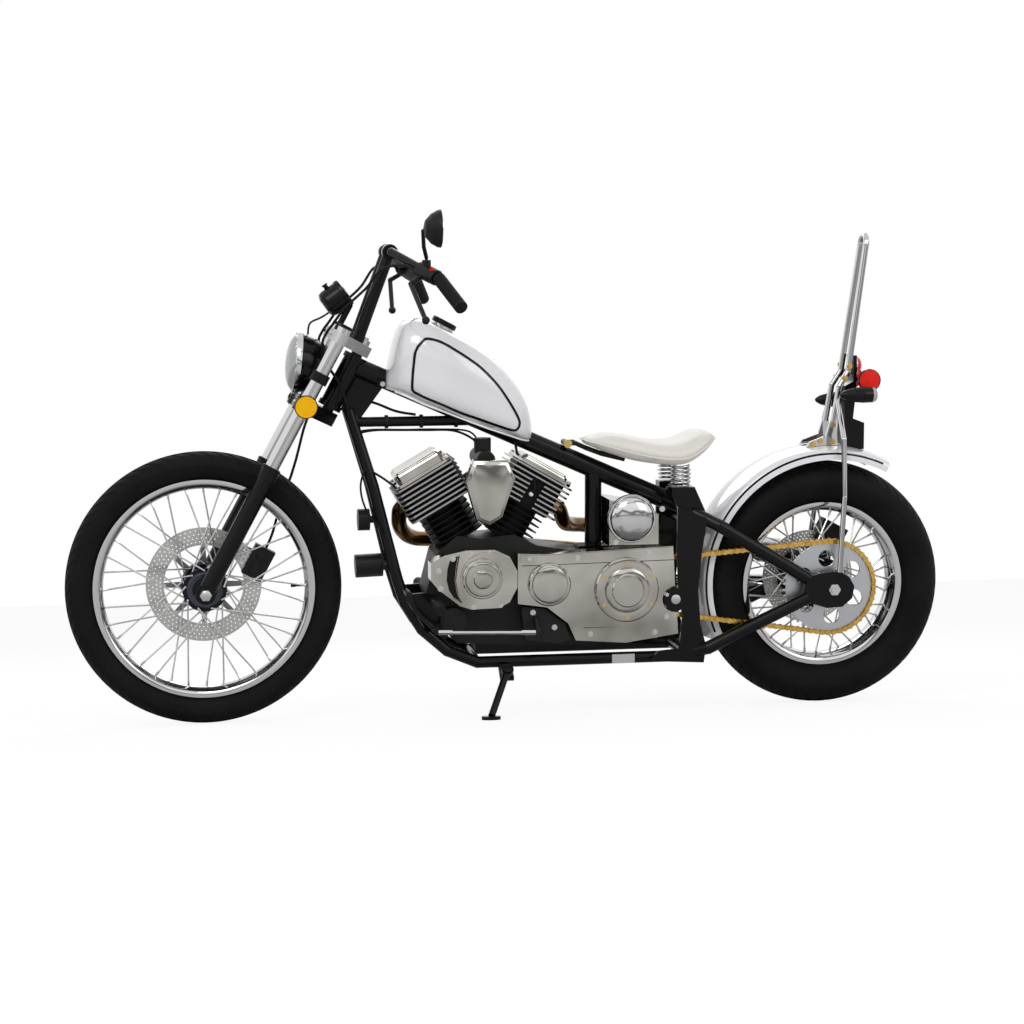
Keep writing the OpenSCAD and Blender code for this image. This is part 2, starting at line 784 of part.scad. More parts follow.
module seat() color("ivory") parked() {
  n = 20;
  pts = [for (row = seat_rows) for (k = [0:n - 1])
    let(t = k * 360 / n, c = cos(t), s = sin(t), hz = (row[1] - row[2]) / 2, mz = (row[1] + row[2]) / 2)
    [row[0], row[3] * sign(c) * pow(abs(c), 0.7), mz + hz * sign(s) * pow(abs(s), 0.7)]];
  m = len(seat_rows);
  body = [for (i = [0:m - 2]) for (k = [0:n - 1])
    [i * n + k, (i + 1) * n + k, (i + 1) * n + (k + 1) % n, i * n + (k + 1) % n]];
  ends = [[for (k = [0:n - 1]) k], [for (k = [n - 1:-1:0]) (m - 1) * n + k]];
  polyhedron(pts, concat(body, ends), convexity = 4);
}

spring_h = 58.4;
spring_turns = 5;

// a barrel-shaped coil of round wire on a flat end turn
module coil(r, wire, turns, h) {
  n = 12;
  k = 6;
  m = turns * n;
  pts = [for (i = [0:m]) for (j = [0:k - 1])
    let(t = i * 360 / n, u = j * 360 / k, q = r + 3 * sin(i * 180 / m) + wire * cos(u))
    [q * cos(t), q * sin(t), wire + (h - 2 * wire) * i / m + wire * sin(u)]];
  body = [for (i = [0:m - 1]) for (j = [0:k - 1])
    [i * k + j, i * k + (j + 1) % k, (i + 1) * k + (j + 1) % k, (i + 1) * k + j]];
  ends = [[for (j = [k - 1:-1:0]) j], [for (j = [0:k - 1]) m * k + j]];
  polyhedron(pts, concat(body, ends), convexity = 8);
}

module seat_springs() color("silver") parked() pair()
  translate([1228, -72, perch_z + gap])
    coil(21, 3.8, spring_turns, spring_h);

module seat_strap() color("black") parked() {
  pair()
    pipe([[938, -20, 706], [960, -20, 706], [990, -20, 692], [1030, -20, 677], [1090, -20, 662]], 6, 16);
  bar([938, -30, 706], [938, 30, 706], 8);
}

module oil_tank() color("silver") parked() {
  plate(-104, 60)
    polygon([[1033 + gap, 446], [1033 + gap, 566], [1120, 550], [1165, 526], [1165, 446]]);
  across(-104)
    translate([1090, 517, 0]) {
      cylinder(r = 63, h = 12);
      translate([0, 0, 12])
        scale([1, 1, 0.4])
          sphere(r = 58);
    }
}

// ---- rear end ----

fender_x = 1633;
fender_z = 336;

module rear_fender() color("white") parked() translate([fender_x, 0, fender_z])
  rotate([90, 0, 0])
    rotate(63)
      rotate_extrude(angle = 142, $fn = 96)
        polygon([[356, 0], [355, 24], [352, 52], [346, 78], [338, 86], [321, 88.5], [321, 86], [336, 83.5],
          [343, 76], [349, 51], [352, 24], [353, 0], [352, -24], [349, -51], [343, -76], [336, -83.5],
          [321, -86], [321, -88.5], [338, -86], [346, -78], [352, -52], [355, -24]]);

hoop_r = 8;
hoop_knee = [1688, -31, 884];
hoop_top = [1733, -24, 1216];

module sissy_bar() color("silver") parked() {
  pair() {
    // hoop's leg, from the fender up
    pipe([[1648, -34, 750], [1664, -33, 846], hoop_knee, hoop_top], hoop_r);
    translate(hoop_top)
      sphere(r = hoop_r + 0.25);
    plate(-39, -29)
      polygon([[1576, 686.6], [1584, 700], [1628, 716], [1640, 756], [1656, 756], [1660, 690.2], [1633, 690.9],
        [1600, 689.6]]);
    // side strut up from the axle plate
    pipe([[1637, -stay_y - 13 - gap, 368], [1656, -118, 562], [1657, -102, 712], [1659, -33.5, 812]], 7);
  }
  // bend over the top
  translate([hoop_top.x, 0, hoop_top.z])
    rotate([0, atan2(hoop_top.x - hoop_knee.x, hoop_top.z - hoop_knee.z), 0])
      rotate([90, 0, 90])
        rotate_extrude(angle = 180)
          translate([-hoop_top.y, 0])
            circle(r = hoop_r);
}

// rear face that a number plate is screwed to
plate_face = 1735;
plate_screw = [19, 718];
plate_thread = [2.5, 12];

module tail_bracket() color("black") parked() {
  difference() {
    plate(-30, 30)
      polygon([[1680, 689.4], [1680, 846], [1703, 858], [1703, 926], [1712, 926], [1712, 840], [1704, 760],
        [plate_face, 748], [plate_face, 677.2], [1706, 684.8]]);
    for (s = [-1, 1])
      translate([plate_face - plate_thread[1], s * plate_screw[0], plate_screw[1]])
        rotate([0, 90, 0])
          cylinder(r = plate_thread[0], h = plate_thread[1] + cut);
  }
  bar([1715, -70 + gap, 863], [1715, 70 - gap, 863], 6, 24);
}

module rear_signals() color("black") parked() {
  // left one sits a little higher than the right one
  for (p = [[-110, 828], [110, 800]])
    translate([1735, p[0], p[1]])
      rotate([0, -90, 0])
        rotate_extrude()
          polygon([[0, 0], [16, 0], [20, 8], [21, 30], [19, 55], [13, 78], [6, 90], [0, 94]]);
  bar([1694, -94, 828], [1694, -30.4, 820], 6, 24);
  bar([1694, 94, 800], [1694, 30.4, 808], 6, 24);
}

module red_lenses() color("red") parked() {
  translate([1712 + gap, 0, 898])
    rotate([0, 90, 0])
      rotate_extrude()
        polygon([[0, 0], [26, 0], [25, 7], [20, 14], [11, 19], [0, 21]]);
  pair()
    across(-70)
      translate([1732, 863, 0])
        cylinder(r = 28, h = 9);
}

module chain() color("gold") parked() translate([wheelbase, -chain_y, rear_r])
  rotate([0, chain_tilt, 0])
    for (i = [0:links - 1])
      let(p = chain_at(i * pitch), q = chain_at(((i + 1) % links) * pitch))
        translate([p.x, 0, p.y])
          rotate([0, -atan2(q.y - p.y, q.x - p.x), 0])
            translate([0, 0, -link_h / 2])
              linear_extrude(link_h)
                polygon([[-3, -10], [-3, 10], [link_end, 10], [link_end, 6.5], [3, 6.5], [3, -6.5], [link_end, -6.5],
                  [link_end, -10]]);

module rear_axle() color("silver") parked() translate([wheelbase, 0, rear_r]) {
  across(164)
    cylinder(r = axle_r, h = 328);
  pair()
    across(-stay_y - 6 - gap)
      cylinder(r = 16, h = 16, $fn = 6);
  across(-hub_half - gap)
    cylinder(r = 17, h = stay_y - 6 - hub_half - 2 * gap);
}

module rear_caliper() color("dimgray") parked() difference() {
  union() {
    plate(76, hub_half + gap + 4)
      translate([wheelbase, rear_r])
        rotate(62)
          translate([98, -38])
            square([62, 76]);
    // carrier on the axle
    plate(hub_half + gap, stay_y - 6 - gap)
      translate([wheelbase, rear_r]) {
        circle(r = 24);
        rotate(62)
          polygon([[0, -22], [120, -34], [120, 34], [0, 22]]);
      }
  }
  translate([wheelbase, 0, rear_r]) {
    across(98)
      cylinder(r = rear_disc_r + 5, h = 12);
    across(stay_y)
      cylinder(r = axle_r + gap, h = 40);
  }
}

module foot_controls() color("black") parked() {
  // pegs and pedals
  pair() {
    bar([578, -case_y - 7 - gap, 312], [578, -240, 312], 12, 24);
    bar([572, -case_y - 7 - gap, 252], [572, -172, 252], 8, 24);
    pipe([[572, -160, 252], [524, -164, 300], [500, -168, 352]], 6, 24);
    bar([500, -162, 352], [500, -222, 352], 8, 24);
  }
  // shift rod and its lever on the gearbox
  bar([572, -160, 244], [838, -160, 236], 5, 16);
  pipe([[838, -160, 232], [838, -132, 262], [838, -gear_y - gap, 262]], 8, 24);
}

module horn() color("black") parked() {
  translate([424, 0, 516])
    rotate([0, -90, 0])
      cylinder(r = 28, h = 30);
  translate([420, -8, 508])
    cube([32, 16, 16]);
  translate([442, -38.2, 508])
    cube([10, 76.4, 16]);
}

module front_lamp() color("black") parked() {
  translate([456, 0, 398])
    rotate([0, -92, 0])
      cylinder(r = 30, h = 70);
  translate([452, -51, 391])
    cube([22, 102, 14]);
}

// ---- fork and handlebar ----

module clamp_plan(front, back) {
  circle(r = back);
  for (s = [-1, 1])
    translate([-offset, s * leg_y])
      circle(r = front);
  polygon([[-offset - front + 8, -leg_y], [-offset - front + 8, leg_y], [-offset + front - 4, leg_y], [back - 6, 18],
    [back - 6, -18], [-offset + front - 4, -leg_y]]);
}

module lower_clamp() color("black") parked() fork_frame() {
  difference() {
    translate([offset, 0, clamp_low])
      linear_extrude(clamp_h)
        clamp_plan(27, 30);
    for (s = [-1, 1])
      translate([0, s * leg_y, clamp_low - cut])
        cylinder(r = tube_r + gap, h = clamp_h + 2 * cut);
  }
  translate([offset, 0, clamp_low])
    cylinder(r = stem_r, h = top_clamp - clamp_low);
}

module upper_clamp() color("silver") parked() fork_frame()
  difference() {
    translate([offset, 0, top_clamp])
      linear_extrude(top_h)
        clamp_plan(25, 28);
    for (s = [-1, 1])
      translate([0, s * leg_y, top_clamp - cut])
        cylinder(r = tube_r + gap, h = top_h + 2 * cut);
  }

module fork_tubes() color("silver") parked() fork_frame()
  for (s = [-1, 1])
    translate([0, s * leg_y, slider_len])
      cylinder(r = tube_r, h = leg_len - slider_len);

module fork_sliders() color("black") parked() fork_frame()
  for (s = [-1, 1])
    difference() {
      union() {
        translate([0, s * leg_y, -20])
          cylinder(r = slider_r, h = slider_len - 8);
        translate([0, s * leg_y, slider_len - 28])
          cylinder(r = slider_r + 2.5, h = 28);
        across(s * leg_y + 22.5)
          cylinder(r = 25, h = 45);
        // caliper arms
        if (s > 0)
          translate([8, 78 + gap, 92])
            cube([94, 9, 44]);
      }
      across(s * leg_y + 60)
        cylinder(r = axle_r + gap, h = 120);
    }

module front_axle() color("silver") parked() translate([0, 0, front_r]) {
  across(leg_y + 36)
    cylinder(r = axle_r, h = 2 * (leg_y + 36));
  pair() {
    across(-leg_y - 22.5 - gap)
      cylinder(r = 15, h = 12, $fn = 6);
    across(-68 - gap)
      cylinder(r = 14, h = leg_y - 22.5 - 68 - 2 * gap);
  }
}

lamp_tilt = 6.7;
lens_r = 71.5;

module at_lamp() {
  translate([243, 0, 922])
    rotate([0, lamp_tilt - 90, 0])
      children();
}

module headlamp() color("black") parked() {
  at_lamp()
    rotate_extrude()
      polygon([[0, -80], [34, -80], [54, -64], [68, -36], [75, -10], [78, -9], [79, -6], [79, 3], [77, 5],
        [lens_r + 1, 5], [lens_r + 1, 0], [0, 0]]);
  pair()
    fork_frame() {
      difference() {
        union() {
          translate([0, -leg_y, 600])
            cylinder(r = 24, h = 26);
          translate([-46, -82, 603])
            cube([40, 16, 20]);
        }
        translate([0, -leg_y, 599])
          cylinder(r = tube_r + gap, h = 28);
      }
    }
}

module headlamp_lens() color("lightgray") parked()
  at_lamp()
    rotate_extrude()
      polygon([[0, gap], [lens_r, gap], [lens_r - 2, 8], [58, 18], [38, 25], [16, 28], [0, 28.5]]);

speedo = [341, 0, 1081];

module speedometer() color("black") parked() {
  translate(speedo)
    rotate([0, 55, 0])
      rotate_extrude()
        polygon([[0, -32], [22, -32], [32, -27], [35, -18], [36, 20], [38, 22], [38, 30], [36, 32], [33, 32],
          [33, 28], [0, 28]]);
  fork_frame()
    translate([-8, 0, top_clamp + top_h + gap])
      cylinder(r = 8, h = 74);
}

bar_r = 11;
riser_foot = [fx(46, top_clamp + top_h + 10), -38, fz(46, top_clamp + top_h + 10)];

module bar_path(r) {
  pipe([bar_mid, [bar_mid.x, -84, bar_mid.z], grip_in, grip_out], r);
}

module handlebar() color("black") parked() {
  pair() {
    fork_frame()
      translate([46, -38, top_clamp + top_h + gap])
        cylinder(r = 16, h = 14);
    bar(riser_foot, [bar_mid.x, -38, bar_mid.z], 15);
    bar_path(bar_r);
  }
}

module grips() color("black") parked() pair() {
  difference() {
    bar(grip_in, grip_out + 0.04 * (grip_out - grip_in), 16.5);
    bar(grip_in - 0.2 * (grip_out - grip_in), grip_out, bar_r + gap);
  }
}

perch_a = [536, -196, 1158];
perch_b = [562, -240, 1143];
// threaded hole for a mirror, in the top of each lever perch
mirror_hole = [549, -218, 1158];
perch_top = 24;
thread_r = 4.25;
thread_len = 14;

module hand_controls() color("black") parked() {
  difference() {
    pair() {
      bar(perch_a, perch_b, 20);
      translate([mirror_hole.x, mirror_hole.y, mirror_hole.z - 10])
        cylinder(r = 11, h = perch_top + 10);
      pipe([[544, -216, 1146], [508, -232, 1124], [528, -368, 1040]], 6, 24);
      translate([528, -368, 1040])
        sphere(r = 10);
    }
    pair() {
      bar_path(bar_r + gap);
      translate([mirror_hole.x, mirror_hole.y, mirror_hole.z + perch_top - thread_len])
        cylinder(r = thread_r, h = thread_len + cut);
    }
  }
}

module mirror_piece() color("black") parked() {
  translate([mirror_hole.x, mirror_hole.y, mirror_hole.z + perch_top - thread_len + gap])
    cylinder(r = thread_r - gap, h = thread_len + 8);
  pipe([[mirror_hole.x, mirror_hole.y, mirror_hole.z + perch_top + 5], [540, -240, 1214], [532, -292, 1252],
    [546, -296, 1256]], 5, 24);
  translate([574, -300, 1258])
    rotate([0, -90, 0])
      rotate_extrude()
        polygon([[0, 0], [46, 0], [45, 8], [36, 24], [20, 38], [0, 43]]);
}

module amber_reflectors() color("orange") parked() pair()
  across(-leg_y - 27.5)
    translate([256, 818, 0])
      cylinder(r = 27, h = 10);

module front_caliper() color("dimgray") parked() difference() {
  fork_frame()
    translate([70, 44, 72])
      cube([56, 34, 84]);
  translate([0, 0, front_r])
    across(64)
      cylinder(r = front_disc_r + 5, h = 12);
}

// ---- cables ----

cable_r = 3.5;

// clutch cable: left perch, ahead of the riser, past the lamp, down to the left down tube
clutch_route = [[522, -202.5, 1155.8], [500, -167, 1168], [452, -104, 1158], [414, -72, 1110], [362, -66, 1062],
  [330, -64, 1020], [314, -63, 998], [304, -62, 970], [316, -60, 920], [346, -60, 870], [364, -60, 815], [386, -50, 750], [398, -50.4, 706]];

// throttle cable: right perch, past the lamp, under the tank's front to the rail
throttle_route = [[522, 202.5, 1155.8], [500, 167, 1168], [452, 104, 1158], [414, 72, 1110], [362, 66, 1062],
  [330, 64, 1020], [314, 63, 998], [304, 60, 970], [320, 57, 920], [352, 50, 872], [392, 40, 832], [450, 24, 812], [496, 4, rail_top + 26],
  [546, 0, rail_top + 13 + cable_r + gap]];

module clutch_cable() color("black") parked()
  cord(eased(clutch_route, 3), cable_r);

module throttle_cable() color("black") parked()
  cord(eased(throttle_route, 3), cable_r);

// brake hose: from under the lower clamp to the caliper, in the fork's own frame
module brake_hose() color("black") parked() fork_frame()
  cord(eased([[36, 62, clamp_low - 2 * gap], [40, 62, clamp_low - 40], [66, 66, 380], [84, 70, 250], [98, 71, 196],
    [100, 71, 156 + gap]], 3), cable_r);

// lamp wire: out of the speedometer's foot, over to the lamp's shell
module lamp_wire() color("black") parked()
  cord(eased([[325, -6, 1047.4], [302, -7, 1033], [274, -8, 1024], [271.5, -8, 992.6]], 3), 2.5);

// ---- side stand ----

module side_stand() color("black") parked() {
  difference() {
    union() {
      at_pivot()
        cylinder(r = 16, h = 16, center = true);
      bar(pivot + 0.09 * leg_v, pivot + 0.97 * leg_v, stand_r);
      translate(foot_end)
        rotate([-lean, 0, 0])
          translate([0, 0, -foot_h])
            cylinder(r = 24, h = foot_h + 3);
    }
    at_pivot()
      cylinder(r = 8 + run, h = 40, center = true);
  }
}

frame();
crankcase();
cylinders();
rocker_covers();
intake_cover();
primary_cover();
stator_cover();
round_covers();
right_cover();
exhaust_pipes();
mufflers();
fuel_tank();
fuel_cap();
seat();
seat_springs();
seat_strap();
oil_tank();
rear_fender();
sissy_bar();
tail_bracket();
red_lenses();
rear_signals();
chain();
foot_controls();
horn();
front_lamp();
rear_axle();
rear_caliper();
lower_clamp();
upper_clamp();
fork_tubes();
fork_sliders();
front_axle();
headlamp();
headlamp_lens();
speedometer();
handlebar();
grips();
hand_controls();
mirror_piece();
amber_reflectors();
front_caliper();
front_tyre();
front_rim();
front_hub();
front_disc();
rear_tyre();
rear_rim();
rear_hub();
rear_disc();
sprocket();
side_stand();
carburettor();
clutch_cable();
throttle_cable();
brake_hose();
lamp_wire();
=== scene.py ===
# Chopper motorcycle, dressed for its portrait. The machine is laid out upright in millimetres, from
# the front axle back, and lay() leans it over onto its side stand.
import bpy
import bmesh
import numpy as np
from mathutils import Matrix


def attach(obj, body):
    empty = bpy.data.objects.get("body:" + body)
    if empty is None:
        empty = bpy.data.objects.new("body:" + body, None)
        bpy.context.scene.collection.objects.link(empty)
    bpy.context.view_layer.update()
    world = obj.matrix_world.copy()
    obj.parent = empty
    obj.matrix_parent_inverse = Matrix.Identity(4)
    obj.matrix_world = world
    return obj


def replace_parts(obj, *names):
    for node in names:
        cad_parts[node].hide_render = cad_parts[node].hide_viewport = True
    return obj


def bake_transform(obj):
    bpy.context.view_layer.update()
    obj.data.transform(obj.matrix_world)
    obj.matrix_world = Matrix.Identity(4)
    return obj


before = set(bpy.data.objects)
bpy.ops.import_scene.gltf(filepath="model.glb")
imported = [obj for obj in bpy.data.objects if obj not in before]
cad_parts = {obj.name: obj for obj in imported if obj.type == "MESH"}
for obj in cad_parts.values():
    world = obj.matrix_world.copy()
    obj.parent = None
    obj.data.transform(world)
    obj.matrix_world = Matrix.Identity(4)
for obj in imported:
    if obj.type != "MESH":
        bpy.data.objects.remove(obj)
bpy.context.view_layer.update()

# ---- camera, floor and light ----
# A long lens looks across from the rider's left, a little ahead of the front axle. The floor is
# white paper, and three wide soft boxes light the machine evenly. The machine leans eight degrees
# to its left: every piece is worked out upright, in millimetres, and is laid over once.
LEAN = np.radians(8)
LIFT = 6 * np.sin(LEAN)
MIDDLE = (798.0, -149.192)


def lay(points):
    """Upright millimetres to leaning metres: y and z turn by the lean, then the middle moves to the origin."""
    p = np.asarray(points, float).reshape(-1, 3)
    c, s = np.cos(LEAN), np.sin(LEAN)
    return np.column_stack((p[:, 0] - MIDDLE[0], c * p[:, 1] - s * p[:, 2] - MIDDLE[1],
                            s * p[:, 1] + c * p[:, 2] + LIFT)) / 1000


def lay_way(v):
    """A direction, leaned over in the same way."""
    c, s = np.cos(LEAN), np.sin(LEAN)
    return np.array((v[0], c * v[1] - s * v[2], s * v[1] + c * v[2]))


def unit(v):
    """Directions of length one."""
    return v / np.linalg.norm(v, axis=-1, keepdims=True)


def stand(name, data):
    """A new object of this data, in the scene."""
    o = bpy.data.objects.new(name, data)
    bpy.context.scene.collection.objects.link(o)
    return o


eye = stand("camera", bpy.data.cameras.new("camera"))
turn, dip, roll = np.radians((9.3, 7.1, -0.1))
ahead = np.array((np.sin(turn) * np.cos(dip), np.cos(turn) * np.cos(dip), -np.sin(dip)))
side = unit(np.cross(ahead, (0, 0, 1)))
up = np.cross(side, ahead)
side, up = side * np.cos(roll) + up * np.sin(roll), up * np.cos(roll) - side * np.sin(roll)
pose = np.eye(4)
pose[:3, 0], pose[:3, 1], pose[:3, 2] = lay_way(side), lay_way(up), -lay_way(ahead)
pose[:3, 3] = lay((-136.2, -5693.8, 1245.9))[0]
eye.matrix_world = Matrix(pose)
eye.data.sensor_width, eye.data.lens = 36, 78.598828125
eye.data.clip_end = 60
bpy.context.scene.camera = eye
bpy.context.scene.view_settings.view_transform = "Standard"


def finish_of(name, colour, rough=0.5, metal=0.0, **sockets):
    """A new material around one Principled shader."""
    m = bpy.data.materials.new(name)
    m.use_nodes = True
    for k, v in {"Base_Color": (*colour, 1), "Roughness": rough, "Metallic": metal, **sockets}.items():
        sockets_of(m)[k.replace("_", " ")].default_value = v
    return m


def sockets_of(m):
    """The inputs of a material's Principled shader."""
    return m.node_tree.nodes["Principled BSDF"].inputs


def node(nt, kind, **values):
    """A new shader node; each value goes on the socket of its name, or on the setting where no socket has it."""
    n = nt.nodes.new("ShaderNode" + kind)
    for k, v in values.items():
        socket = n.inputs.get(k.replace("_", " "))
        if socket is None:
            setattr(n, k, v)
        else:
            socket.default_value = v
    return n


def wire(nt, *pairs):
    """A link from the first socket to the second of each pair."""
    for a, b in pairs:
        nt.links.new(a, b)


def paper(name, shown):
    """White paper that reads as pure white to the lens, and keeps a shadow where it is shown by less than one."""
    m = finish_of(name, (0.86, 0.86, 0.86), 0.9)
    nt = m.node_tree
    glow = node(nt, "Emission", Color=(1, 1, 1, 1), Strength=1.09)
    path = node(nt, "LightPath")
    either = node(nt, "Math", operation="MAXIMUM")
    share = node(nt, "Math", operation="MULTIPLY")
    share.inputs[1].default_value = shown
    mix = node(nt, "MixShader")
    wire(nt, (path.outputs["Is Camera Ray"], either.inputs[0]), (path.outputs["Is Transmission Ray"], either.inputs[1]),
         (either.outputs[0], share.inputs[0]), (share.outputs[0], mix.inputs[0]), (glow.outputs[0], mix.inputs[2]),
         (nt.nodes["Principled BSDF"].outputs[0], mix.inputs[1]),
         (mix.outputs[0], nt.nodes["Material Output"].inputs["Surface"]))
    return m


me = bpy.data.meshes.new("floor")
me.from_pydata([(-14, -14, 0), (14, -14, 0), (14, 14, 0), (-14, 14, 0)], [], [(0, 1, 2, 3)])
me.materials.append(paper("floor_paper", 0.8))
stand("floor", me)


def soft_box(name, place, aim, size, watts):
    """A wide area lamp at place, turned to face aim."""
    lamp = bpy.data.lights.new(name, "AREA")
    lamp.shape = "RECTANGLE"
    lamp.size, lamp.size_y = size
    lamp.energy = watts
    back = unit(np.subtract(place, aim))
    along = unit(np.cross((0, 0, 1), back))
    m = np.eye(4)
    m[:3, 0], m[:3, 1], m[:3, 2], m[:3, 3] = along, np.cross(back, along), back, place
    stand(name, lamp).matrix_world = Matrix(m)


soft_box("key_box", (-1.6, -3.6, 3.6), (0, 0, 0.5), (2.6, 2.0), 72)
soft_box("fill_box", (2.8, -3.0, 2.2), (0.2, 0, 0.5), (2.0, 2.0), 24)
soft_box("back_box", (0.4, 3.4, 3.0), (0, 0, 0.6), (3.0, 1.6), 40)
# the room lights the machine softly, and is plain white to the lens and to the rays that metal and glass send out
world = bpy.data.worlds.new("studio")
bpy.context.scene.world = world
world.use_nodes = True
nt = world.node_tree
sky = nt.nodes["Background"]
sky.inputs["Color"].default_value = (1, 1, 1, 1)
sky.inputs["Strength"].default_value = 0.42
plain = node(nt, "Background", Color=(1, 1, 1, 1), Strength=1)
path = node(nt, "LightPath")
most = path.outputs["Is Camera Ray"]
for kind in ("Is Glossy Ray", "Is Transmission Ray"):
    either = node(nt, "Math", operation="MAXIMUM")
    wire(nt, (most, either.inputs[0]), (path.outputs[kind], either.inputs[1]))
    most = either.outputs[0]
mix = node(nt, "MixShader")
wire(nt, (most, mix.inputs[0]), (sky.outputs[0], mix.inputs[1]), (plain.outputs[0], mix.inputs[2]),
     (mix.outputs[0], nt.nodes["World Output"].inputs["Surface"]))

# ---- tyres ----
# Two black road tyres, moulded with a ribbed and grooved tread and a raised band on each side wall.
# Each is one ring of rubber, a section carried right round the wheel.
FRONT, REAR = np.array((0, 0, 350.0)), np.array((1622, 0, 324.0))


def woven(nu, nv, close_u=False, close_v=True):
    """Four-sided faces of a grid of nu rows of nv points, closed on itself where asked."""
    i, j = np.meshgrid(np.arange(nu - (not close_u)), np.arange(nv - (not close_v)), indexing="ij")
    k, l = (i + 1) % nu, (j + 1) % nv
    return np.stack((i * nv + j, i * nv + l, k * nv + l, k * nv + j), -1).reshape(-1, 4)


def put(name, parts, materials, body, sharp=35.0):
    """A new piece from parts of (points, faces, material number): laid over, doubles merged, sides turned out."""
    points, faces, kinds, start = [], [], [], 0
    for part in parts:
        p, f = np.asarray(part[0], float).reshape(-1, 3), np.asarray(part[1])
        points.append(p)
        faces.append(f + start)
        kinds.append(np.full(len(f), part[2] if len(part) > 2 else 0))
        start += len(p)
    me = bpy.data.meshes.new(name)
    co = lay(np.concatenate(points))
    me.vertices.add(len(co))
    me.vertices.foreach_set("co", co.astype(np.float32).ravel())
    sizes = np.concatenate([np.full(len(f), f.shape[1]) for f in faces])
    me.loops.add(int(sizes.sum()))
    me.loops.foreach_set("vertex_index", np.concatenate([f.ravel() for f in faces]).astype(np.int32))
    me.polygons.add(len(sizes))
    me.polygons.foreach_set("loop_start", (np.cumsum(sizes) - sizes).astype(np.int32))
    me.polygons.foreach_set("material_index", np.concatenate(kinds).astype(np.int32))
    me.update(calc_edges=True)
    for m in materials if isinstance(materials, list) else [materials]:
        me.materials.append(m)
    work = bmesh.new()
    work.from_mesh(me)
    bmesh.ops.remove_doubles(work, verts=work.verts, dist=1e-6)
    bmesh.ops.dissolve_degenerate(work, edges=work.edges, dist=1e-7)
    bmesh.ops.recalc_face_normals(work, faces=work.faces)
    work.to_mesh(me)
    work.free()
    me.shade_smooth()
    me.set_sharp_from_angle(angle=np.radians(sharp))
    me.validate()
    o = stand(name, me)
    if body:
        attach(o, body)
    return o


def through(points, n):
    """A smooth line through the points: cubics whose slope at a point is half the step between its neighbours."""
    p = np.asarray(points, float)
    q = np.concatenate([2 * p[:1] - p[1:2], p, 2 * p[-1:] - p[-2:-1]])
    t = np.linspace(0, 1, n, endpoint=False)[None, :, None]
    a, b, c, d = (q[k:len(q) - 3 + k][:, None] for k in range(4))
    line = 0.5 * (2 * b + (c - a) * t + (2 * a - 5 * b + 4 * c - d) * t ** 2 + (3 * b - a - 3 * c + d) * t ** 3)
    return np.concatenate([line.reshape(-1, p.shape[1]), p[-1:]])


def grain(m, scale, detail):
    """A noise over the piece's own coordinates."""
    nt = m.node_tree
    noise = node(nt, "TexNoise", Scale=scale, Detail=detail)
    wire(nt, (node(nt, "TexCoord").outputs["Object"], noise.inputs["Vector"]))
    return noise.outputs["Fac"]


def mottled(m, scale, dark, light, detail=4.0):
    """The colour drifts between two close tones in a soft noise."""
    nt = m.node_tree
    ramp = node(nt, "ValToRGB")
    for stop, place, tone in zip(ramp.color_ramp.elements, (0.3, 0.7), (dark, light)):
        stop.position, stop.color = place, (*tone, 1)
    wire(nt, (grain(m, scale, detail), ramp.inputs["Fac"]), (ramp.outputs["Color"], sockets_of(m)["Base Color"]))
    return m


def pebbled(m, scale, height, detail=3.0):
    """A fine noise bump, height in metres."""
    nt = m.node_tree
    bump = node(nt, "Bump", Strength=1, Distance=height)
    wire(nt, (grain(m, scale, detail), bump.inputs["Height"]), (bump.outputs["Normal"], sockets_of(m)["Normal"]))
    return m


def about_axle(r, t, y=0.0):
    """Places at radius r and angle t round a wheel's axle, y across it."""
    return np.stack(np.broadcast_arrays(r * np.cos(t), y + 0.0 * t, r * np.sin(t)), -1)


tyre_rubber = finish_of("tyre_rubber", (0.006, 0.006, 0.006), 0.66, Specular_IOR_Level=0.1)
pebbled(mottled(tyre_rubber, 9, (0.004, 0.004, 0.004), (0.009, 0.009, 0.009)), 900, 0.00012)


def tyre(name, middle, r, w, rim_r, rim_w, pitches, body):
    """Section: side points in share of height over the rim and half width, smoothed by a spline through them.
    Grooves: two rings cut round the crown, and slanted cuts that cross each shoulder once a pitch."""
    h, slant_depth, ring_depth = r - rim_r, 3.2, 3.0
    half = through([((rim_w - 18) / w, -12 / h), ((rim_w - 9) / w, 1 / h), (0.80, 0.14), (0.965, 0.36), (1, 0.56),
                    (0.87, 0.76), (0.61, 0.9), (0.33, 0.97), (12 / w, 1), (0, 1)], 6)
    half[:, 1] = np.minimum(half[:, 1], 1)
    prof = np.concatenate([half, (half * (-1, 1))[-2::-1]])
    steps = pitches * 8
    a = np.linspace(0, 2 * np.pi, steps, endpoint=False)
    y, rad = prof[:, :1] * w / 2, rim_r + h * prof[:, 1:]
    share = y / (w / 2)
    crown = np.clip((rad - rim_r) / h, 0, 1)
    phase = (a[None] * pitches / (2 * np.pi) + np.abs(share) * 1.7) % 1
    slant = (phase < 0.16) & (np.abs(share) > 0.22) & (np.abs(share) < 0.93) & (crown > 0.62)
    ribs = (np.abs(np.abs(share) - 0.14) < 0.03) & (crown > 0.9)
    depth = np.where(slant, slant_depth, 0) + np.where(ribs, ring_depth, 0)
    band = 0.7 * np.exp(-((crown - 0.3) / 0.035) ** 2) + 0.5 * np.exp(-((crown - 0.12) / 0.02) ** 2)
    p = middle + about_axle(rad - depth, a, y + np.sign(y) * (band - 0.6) * (crown < 0.5) * (crown > 0.05))
    o = put(name + "_dressed", [(p, woven(len(prof), steps, True, True))], tyre_rubber, body, 28)
    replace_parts(o, name)


